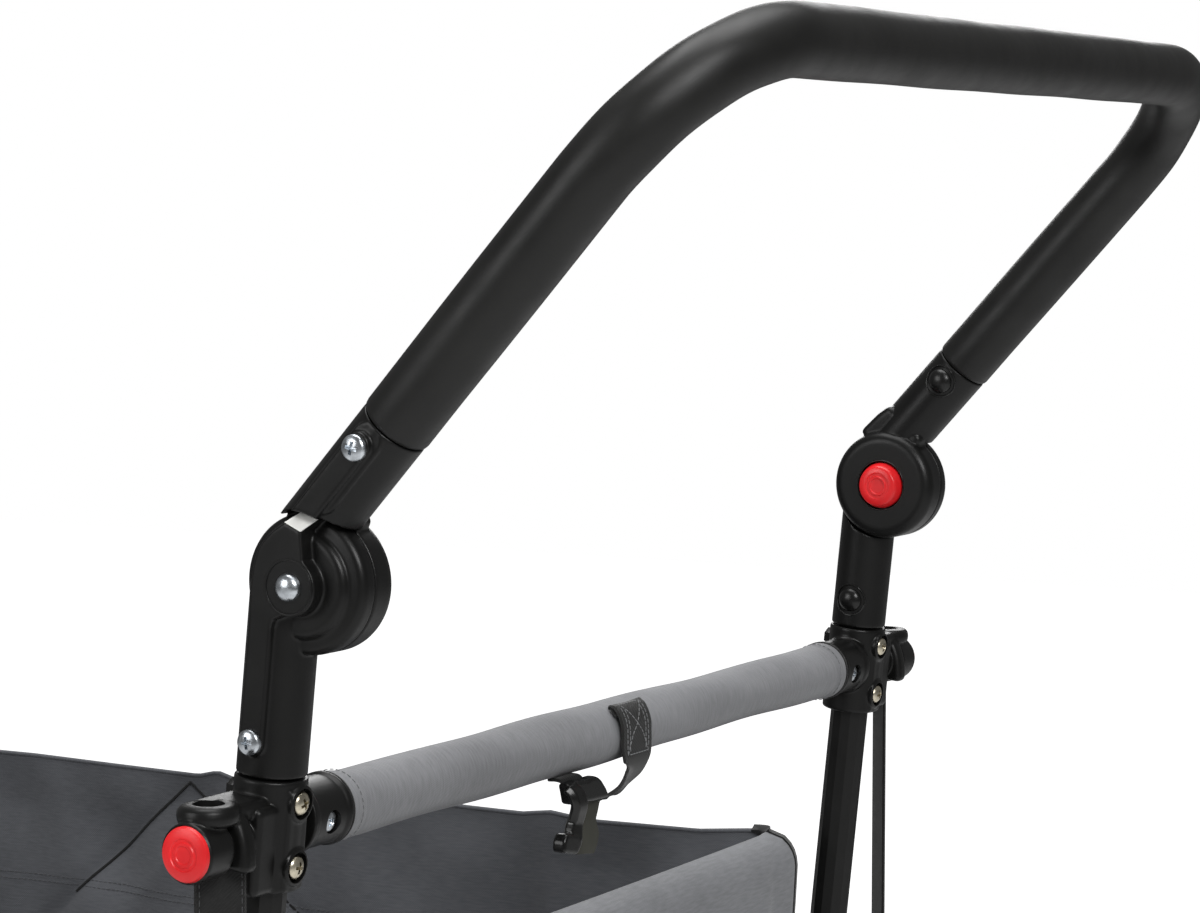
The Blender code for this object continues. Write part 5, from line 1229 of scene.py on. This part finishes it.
def tub_ring(height, inset, columns):
    """One level of the tub's walls: a rectangle with round corners, drawn in towards the floor."""
    share = (height - TUB_LOW.z) / (TUB_HIGH.z - TUB_LOW.z)
    half_x = (TUB_HIGH.x - TUB_LOW.x) / 2 - TAPER_X * (1 - share) - inset
    half_y = TUB_HIGH.y - TAPER_Y * (1 - share) - inset
    radius = 0.022
    middle = (TUB_HIGH.x + TUB_LOW.x) / 2
    x, y = half_x - radius, half_y - radius
    sides = (((x, half_y), (-x, half_y), columns), ((-half_x, y), (-half_x, -y), columns * 2 // 3),
             ((-x, -half_y), (x, -half_y), columns), ((half_x, -y), (half_x, y), columns * 2 // 3))
    outline = []
    for (start, end, count), corner, turn in zip(sides, ((-x, y), (-x, -y), (x, -y), (x, y)), (1, 2, 3, 0)):
        for k in range(count):
            outline.append(tuple(a + (b - a) * k / count for a, b in zip(start, end)))
        outline += arc(corner, radius, turn * pi / 2, (turn + 1) * pi / 2, 8)[:-1]
    return [Vector((middle + x, y, height)) for x, y in outline]


def tent(distance, width):
    return max(0.0, 1.0 - abs(distance) / width)


def crease(x, depth):
    """How far a point lies above the pressed fold that closes the wagon's side (negative: below it)."""
    return CREASE_SLOPE * abs(x - CREASE_X) + CREASE_TOP - depth


def side_relief(x, depth_below_rim):
    """How far a long side stands in (+) or out (-), from its pressed folds and the slack between them."""
    d = depth_below_rim
    fold = crease(x, d)
    push = 0.0
    if d > 0:
        push += 0.0085 * max(0.0, min(1.0, -fold / 0.04)) * min(1.0, d / 0.05)
        push -= 0.0022 * exp(-(fold / 0.006) ** 2) * min(1.0, d / 0.03)
    for place in (SEAM_X, 2 * CREASE_X - SEAM_X):
        push += 0.0055 * exp(-((x - place) / 0.010) ** 2) * (0.35 + min(1.0, d / 0.12))
        push -= 0.0028 * exp(-((x - place - 0.024) / 0.018) ** 2) * min(1.0, d / 0.08)
    slack = 0.0034 * sin(19 * x + 11 * d + 0.6) + 0.0022 * sin(43 * x - 27 * d)
    slack += 0.0012 * sin(88 * x + 31 * d + 1.0)
    slack += 0.0012 * sin(61 * x + 70 * d) * sin(33 * x - 20 * d)
    return push + slack * min(1.0, d / RIM_FADE)


def rim_lift(x, y):
    """Height of the rim above its level: sags between the corners and the fold peaks."""
    end = min(x - TUB_LOW.x, TUB_HIGH.x - x)
    if abs(y) < TUB_HIGH.y - 0.03:
        return 0.0026 + 0.0014 * (y / TUB_HIGH.y) ** 2
    mirrored_x = x if x < CREASE_X else 2 * CREASE_X - x
    places = [-0.283, -0.266, -0.231, -0.163, -0.100, 0.060, CREASE_X]
    heights = [0.0044, 0.0020, -0.0016, -0.0026, -0.0024, -0.0012, -0.0006]
    level = np.interp(mirrored_x, places, heights)
    if x > CREASE_X:
        level += 0.0030 * min(1.0, (x - CREASE_X) / 0.12)
    level += 0.0030 * tent(mirrored_x - SEAM_X, 0.020) + 0.0034 * tent(x - CREASE_X + 0.020, 0.014)
    return float(max(level, 0.0044 - 0.35 * end) if end < 0.02 else level)


def shoulder(x, depth, height, bottom):
    """How far the two ends stand out, past a rounded edge below the rim."""
    middle, half = (TUB_HIGH.x + TUB_LOW.x) / 2, (TUB_HIGH.x - TUB_LOW.x) / 2
    near_end = min(1.0, max(0.0, (abs(x - middle) - half + 0.045) / 0.035))
    round_edge = sqrt(max(0.0, 1 - (1 - min(1.0, depth / SHOULDER_DEPTH)) ** 2))
    fade = min(1.0, max(0.0, (height - bottom - 0.03) / 0.20))
    return (1 if x > middle else -1) * SHOULDER_OUT * round_edge * near_end ** 2 * (3 - 2 * near_end) * fade


def wall_rings(levels, columns):
    """The walls' middle surface, one ring of points for each height, with its folds and slack."""
    top, bottom = levels[0], levels[-1]
    walls = []
    for height in levels:
        depth = top - height
        ring = []
        for point in tub_ring(height, TUB_INSET, columns):
            side = abs(point.y) > TUB_HIGH.y - 0.048 and TUB_LOW.x + 0.05 < point.x < TUB_HIGH.x - 0.05
            lift = rim_lift(point.x, point.y) * max(0.0, 1 - depth / RIM_FADE)
            moved = Vector((point.x + shoulder(point.x, depth, height, bottom), point.y, point.z + lift))
            if side:
                ease = min(1.0, (point.x - TUB_LOW.x - 0.05) / 0.03, (TUB_HIGH.x - 0.05 - point.x) / 0.03)
                low_ease = min(1.0, (height - bottom) / 0.06)
                moved.y -= (1 if point.y > 0 else -1) * side_relief(point.x, depth) * ease * low_ease
            elif abs(point.y) < TUB_HIGH.y - 0.05:
                wave = 0.0020 * sin(15 * point.y + 9 * depth) + 0.0012 * sin(37 * point.y - 20 * depth)
                way = 1 if point.x < MIDDLE_X else -1
                moved.x += way * wave * min(1.0, depth / RIM_FADE) * min(1.0, (height - bottom) / 0.05)
            ring.append(moved)
        walls.append(ring)
    return walls


def make_tub():
    """The four walls as one bent sheet, the floor, a double-stitched hem, piping and corner binding."""
    columns, rows = 150, 96
    top, bottom = TUB_HIGH.z - 0.004, TUB_LOW.z + 0.002
    levels = [top - (top - bottom) * (k / rows) ** 1.15 for k in range(rows + 1)]
    walls = wall_rings(levels, columns)
    rim = walls[0]
    shell = loft(walls, caps=False)
    shell.normal_update()
    cloth_area = sum(face.calc_area() for face in shell.faces)
    sheet = thickened("tub_walls", shell, WALL, TUB_CLOTH)
    paint_ends(sheet)
    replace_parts(sheet, "tub")
    pieces = [sheet, tub_floor(bottom, columns)]
    for name, gap in (("hem_upper", 0.0), ("hem_lower", 0.0038)):
        for face, offset, thread in (("in", 1, DARK_THREAD), ("out", -1, THREAD)):
            line = level_line(walls, levels, top - HEM_DEPTH - gap, offset * (WALL / 2 + 0.0002))
            pieces.append(stitches(f"{name}_{face}", line + line[:1], 0.0036, thread, None, 0.00026))
    pieces.append(rim_fold(rim))
    # Corner bindings, and dark strips of painted shadow along the wall folds.
    pieces += corner_bindings(walls, levels) + fold_shadow_strips(top)
    for item in pieces:
        if "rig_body" not in item:
            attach(item, "rear_frame")
        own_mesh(item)


def tub_floor(bottom, columns):
    """The floor's cloth between the walls, with shallow rings of slack."""
    outline = tub_ring(bottom, TUB_INSET + 0.0006, columns)
    centre = Vector(((TUB_LOW.x + TUB_HIGH.x) / 2, 0, bottom + 0.0002))
    rings = []
    for k in range(14):
        wave = Vector((0, 0, 0.0008 * sin(k * 1.7)))
        rings.append([centre + (p - centre) * (1 - k / 14) + wave for p in outline])
    floor = loft(rings, caps=False)
    last = [v for v in floor.verts if v.is_boundary and (v.co - centre).length < 0.06]
    bmesh.ops.contextual_create(floor, geom=last)
    made = thickened("tub_floor", floor, WALL, HEM_CLOTH)
    outline_area(outline)
    return made


def rim_fold(rim):
    """The rounded fold of cloth along the rim."""
    size = 0.0013
    rings = []
    for k, point in enumerate(rim):
        before, after = rim[k - 1], rim[(k + 1) % len(rim)]
        along = (after - before).normalized()
        across = along.cross(Vector((0, 0, 1))).normalized()
        up = across.cross(along).normalized()
        low = Vector((0, 0, 0.0006))
        rings.append([point + size * (cos(a) * across + sin(a) * up) - low for a in around(16)])
    made = piece("rim_fold", loft(rings, closed=True), TUB_CLOTH, None, 60.0)
    paint_ends(made)
    return made


def fold_shadow_strips(top):
    """Thin dark strips along each fold of the long sides, on the inner face: painted shadow of the pressed
    folds.
    """
    made = []
    for side in (1, -1):
        for way in (1, -1):
            line = []
            for k in range(41):
                depth = CREASE_TOP + 0.0755 * k / 40
                x = CREASE_X + way * (depth - CREASE_TOP) / CREASE_SLOPE
                height = top - depth
                share = (height - TUB_LOW.z) / (TUB_HIGH.z - TUB_LOW.z)
                y = TUB_HIGH.y - TAPER_Y * (1 - share) - TUB_INSET - side_relief(x, depth) - WALL / 2
                lift = rim_lift(x, TUB_HIGH.y) * max(0.0, 1 - depth / RIM_FADE)
                line.append(Vector((x, side * (y - 0.0007), height + lift)))
            name = f"painted_fold_shadow_{side_name(side)}_{'front' if way > 0 else 'rear'}"
            across = (line[-1] - line[0]).cross(Vector((0, 1, 0)))
            # A thin dark strip on the fold line: painted shadow of the pressed fold.
            tape = ribbon(line, [across] * len(line), 0.0017, 0.0006)
            made.append(piece(name, tape, BINDING, None, 50.0))
    return made


def outline_area(outline):
    """Flat area inside a closed outline in X and Y."""
    pairs = zip(outline, outline[1:] + outline[:1])
    return abs(sum(a.x * b.y - b.x * a.y for a, b in pairs)) / 2


def thickened(name, shell, thickness, finish):
    """A sheet of cloth from its middle surface."""
    shell.normal_update()
    mesh = bpy.data.meshes.new("work")
    shell.to_mesh(mesh)
    shell.free()
    work = new_object("work", mesh)
    solid = work.modifiers.new("thickness", "SOLIDIFY")
    solid.thickness = thickness
    solid.offset = 0.0
    result = evaluated(work)
    discard(work)
    return piece(name, result, finish, None, 60.0)


def paint_ends(item):
    """The two ends' outer faces are of the lighter cloth."""
    mesh = item.data
    mesh.materials.append(END_CLOTH)
    for polygon in mesh.polygons:
        along = polygon.center.x - MIDDLE_X
        at_end = abs(abs(along) - (TUB_HIGH.x - TUB_LOW.x) / 2) < 0.022
        inside = abs(polygon.center.y) < TUB_HIGH.y - 0.018
        faces_out = polygon.normal.x * along > -0.2 * abs(along)
        if at_end and inside and (faces_out or item.name == "rim_fold"):
            polygon.material_index = 1


def inward(ring, k):
    """Horizontal direction across the wall at a point of one of its rings, towards the tub's middle."""
    along = ring[(k + 1) % len(ring)] - ring[k - 1]
    across = Vector((along.y, -along.x, 0)).normalized()
    return across if across.dot((TUB_LOW + TUB_HIGH) / 2 - ring[k]) >= 0 else -across


def level_line(walls, levels, height, offset):
    """The walls' line at a height, moved in or out."""
    index = min(range(len(levels)), key=lambda k: abs(levels[k] - height))
    ring = walls[index]
    return [point + inward(ring, k) * offset for k, point in enumerate(ring)]


def corner_bindings(walls, levels):
    """Black tape folded over the rim and down each vertical corner seam."""
    made = []
    ring = walls[0]
    corners = {}
    for k, point in enumerate(ring):
        key = (point.x > MIDDLE_X, point.y > 0)
        corner = Vector((TUB_HIGH.x if key[0] else TUB_LOW.x, TUB_HIGH.y if key[1] else -TUB_HIGH.y, point.z))
        distance = (point - corner).length
        if key not in corners or distance < corners[key][0]:
            corners[key] = (distance, k)
    for (fore, left), (_, k) in corners.items():
        rings = []
        for level, height in zip(walls, levels):
            tilt = max(0.0, 1 - (levels[0] - height) / SHOULDER_DEPTH)
            outer, inner = [], []
            for j in range(k - 3, k + 4):
                j %= len(level)
                step = 0.0013 * (Vector((0, 0, tilt)) - inward(level, j))
                outer.append(level[j] + step)
                inner.append(level[j] - step)
            rings.append(outer + inner[::-1])
        top = [point + Vector((0, 0, 0.0014)) for point in rings[0]]
        name = f"corner_binding_{'front' if fore else 'rear'}_{'left' if left else 'right'}"
        made.append(piece(name, loft([top] + rings), BINDING, None, 50.0))
    return made


def make_boards():
    """Floor boards in cloth covers with a welted edge."""
    for name, body in (("rear_floor_board", "rear_floor"), ("front_floor_board", "front_floor")):
        low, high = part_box(name)
        centre, half = (low + high) / 2, (high - low) / 2
        outline = []
        for turn, (sx, sy) in enumerate(((1, 1), (-1, 1), (-1, -1), (1, -1))):
            corner = (sx * (half.x - 0.020), sy * (half.y - 0.020))
            outline += arc(corner, 0.020, turn * pi / 2, (turn + 1) * pi / 2, 8)
        levels = [(0.05, 0.05, half.z)]
        for inset, drop in ((0.012, 0.0), (0.003, 0.0004), (0.0, 0.0014)):
            levels.append((1 - inset / half.x, 1 - inset / half.y, half.z - drop))
        levels += [(long, wide, -z) for long, wide, z in reversed(levels)]
        rings = [[centre + Vector((x * long, y * wide, z)) for x, y in outline] for long, wide, z in levels]
        shape = loft(rings)
        made = piece(name.replace("board", "panel"), shape, BOARD_CLOTH, body, 50.0)
        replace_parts(made, name)
        long, wide = 1 - 0.009 / half.x, 1 - 0.009 / half.y
        line = [centre + Vector((x * long, y * wide, half.z + 0.0001)) for x, y in outline]
        stitches(name.replace("board", "stitch"), line + line[:1], 0.0040, THREAD, body, 0.0003)


# Wheels


def tread(name, node, body, blocks, edge):
    """Tyre with round edges and tread blocks cut by cross grooves."""
    low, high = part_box(node)
    centre, radius = (low + high) / 2, (high.z - low.z) / 2
    half = (high.y - low.y) / 2
    inner = radius * (0.80 if radius > 0.1 else 0.77)
    depth = 0.0022
    profile = [(inner + 0.0005, -half * 0.62), (inner + 0.004, -half * 0.80), ((inner + radius) / 2, -half)]
    profile += [(radius - edge, -half * 0.93), (radius - 0.0022, -half * 0.72), (radius, -half * 0.45)]
    profile += [(radius, -half * 0.12), (radius - depth, -half * 0.10)]
    profile += [(radius - depth, half * 0.10), (radius, half * 0.12)]
    profile += [(r, -h) for r, h in reversed(profile[:6])]
    profile += [(inner + 0.0005, half * 0.62)]
    steps = blocks * 8
    rings = []
    for i in range(steps):
        a = 2 * pi * i / steps
        groove = (i % 8) in (0, 1)
        ring = []
        for r, h in profile:
            slant = a + 0.035 * h / half
            drop = depth if groove and r > radius - 0.004 else 0.0
            ring.append(centre + Vector(((r - drop) * cos(slant), h, (r - drop) * sin(slant))))
        rings.append(ring)
    made = piece(name, loft(rings, closed=True), RUBBER, body, 28.0)
    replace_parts(made, node)


def make_wheels():
    for side in ("left", "right"):
        tread(f"rear_tread_{side}", f"rear_tyre_{side}", f"rear_wheel_{side}", 36, 0.010)
        tread(f"front_tread_{side}", f"front_tyre_{side}", f"front_wheel_{side}", 30, 0.008)


# CAD nodes that stay, with eased edges and their own materials


def dress_nodes():
    kept = {
        "rear_post": STEEL, "front_post": STEEL, "rear_inner_link": STEEL, "rear_outer_link": STEEL,
        "front_outer_link": STEEL, "front_inner_link": STEEL, "rear_slider": PLASTIC, "front_slider": PLASTIC,
        "rear_hub": PLASTIC, "front_hub": PLASTIC, "caster_fork": PLASTIC, "lock_gear": ZINC,
    }
    single = {
        "rear_rail": STEEL, "front_rail": STEEL, "rear_beam": STEEL, "front_beam": STEEL, "rear_axle": ZINC,
        "brake_bar": STEEL, "handle_tube": STEEL,
    }
    for name, finish in kept.items():
        for side in ("left", "right"):
            single[f"{name}_{side}"] = finish
    for name, finish in single.items():
        node = NODES[name]
        node.data.materials.clear()
        node.data.materials.append(finish)
        weld = node.modifiers.new("weld", "WELD")
        weld.merge_threshold = 0.00001
        ease = node.modifiers.new("ease", "BEVEL")
        ease.width = 0.0005
        ease.segments = 2
        ease.limit_method = "ANGLE"
        ease.angle_limit = radians(36)
        ease.harden_normals = False


# Stage


def stage_node(tree, kind, **values):
    made = tree.nodes.new(kind)
    for name, value in values.items():
        made.inputs[name].default_value = value
    return made


def make_stage():
    """A white floor that keeps the wagon's shadow, and a world that the camera sees as white."""
    white = (1, 1, 1, 1)
    low = CAD_BOX[0][2]
    bpy.ops.mesh.primitive_plane_add(size=14, location=(0, 0, low - 0.0002))
    floor = bpy.context.object
    floor.name = "studio_floor"
    finish = bpy.data.materials.new("studio_floor")
    finish.use_nodes = True
    tree = finish.node_tree
    shader = tree.nodes["Principled BSDF"]
    shader.inputs["Base Color"].default_value = (0.8, 0.8, 0.8, 1)
    shader.inputs["Roughness"].default_value = 0.8
    shader.inputs["Specular IOR Level"].default_value = 0.0
    glow = stage_node(tree, "ShaderNodeEmission", Color=white)
    camera = tree.nodes.new("ShaderNodeLightPath")
    tree.links.new(camera.outputs["Is Camera Ray"], glow.inputs["Strength"])
    both = tree.nodes.new("ShaderNodeAddShader")
    tree.links.new(shader.outputs[0], both.inputs[0])
    tree.links.new(glow.outputs[0], both.inputs[1])
    tree.links.new(both.outputs[0], tree.nodes["Material Output"].inputs["Surface"])
    floor.data.materials.append(finish)

    world = bpy.data.worlds.new("studio")
    bpy.context.scene.world = world
    world.use_nodes = True
    tree = world.node_tree
    tree.nodes.clear()
    output = tree.nodes.new("ShaderNodeOutputWorld")
    soft = stage_node(tree, "ShaderNodeBackground", Color=white, Strength=0.16)
    seen = stage_node(tree, "ShaderNodeBackground", Color=white, Strength=1.0)
    path = tree.nodes.new("ShaderNodeLightPath")
    mix = tree.nodes.new("ShaderNodeMixShader")
    tree.links.new(path.outputs["Is Camera Ray"], mix.inputs[0])
    tree.links.new(soft.outputs[0], mix.inputs[1])
    tree.links.new(seen.outputs[0], mix.inputs[2])
    tree.links.new(mix.outputs[0], output.inputs["Surface"])


def area_light(name, place, target, size, power):
    lamp = bpy.data.lights.new(name, "AREA")
    lamp.shape = "RECTANGLE"
    lamp.size, lamp.size_y = size
    lamp.energy = power
    made = new_object(name, lamp)
    made.location = place
    made.rotation_euler = (Vector(target) - Vector(place)).to_track_quat("-Z", "Y").to_euler()


def make_lights():
    centre = (HINGE.x, 0, 0.8)
    area_light("key", (-2.2, 1.6, 2.4), centre, (1.3, 1.1), 50)
    area_light("fill", (0.9, 2.4, 1.6), centre, (1.2, 1.2), 18)
    area_light("top", (-0.3, -0.2, 2.9), centre, (1.8, 1.6), 40)
    area_light("back", (0.8, -2.4, 1.9), centre, (1.4, 1.0), 22)


def make_camera():
    data = bpy.data.cameras.new("camera")
    data.lens = CAMERA_LENS
    data.sensor_width = 36.0
    data.sensor_fit = "HORIZONTAL"
    made = new_object("camera", data)
    made.location = CAMERA_PLACE
    made.rotation_euler = [radians(a) for a in CAMERA_TURN]
    data.clip_start, data.clip_end = 0.05, 60.0
    bpy.context.scene.camera = made


def main():
    make_camera()
    make_grip()
    make_upper_arms()
    make_lower_arms()
    make_buttons()
    make_brackets()
    make_front_brackets()
    make_rail_covers()
    make_load_straps()
    make_rail_strap()
    make_buckle()
    make_tub()
    make_boards()
    make_wheels()
    dress_nodes()
    make_stage()
    make_lights()
    bpy.context.scene.view_settings.view_transform = "Standard"


main()
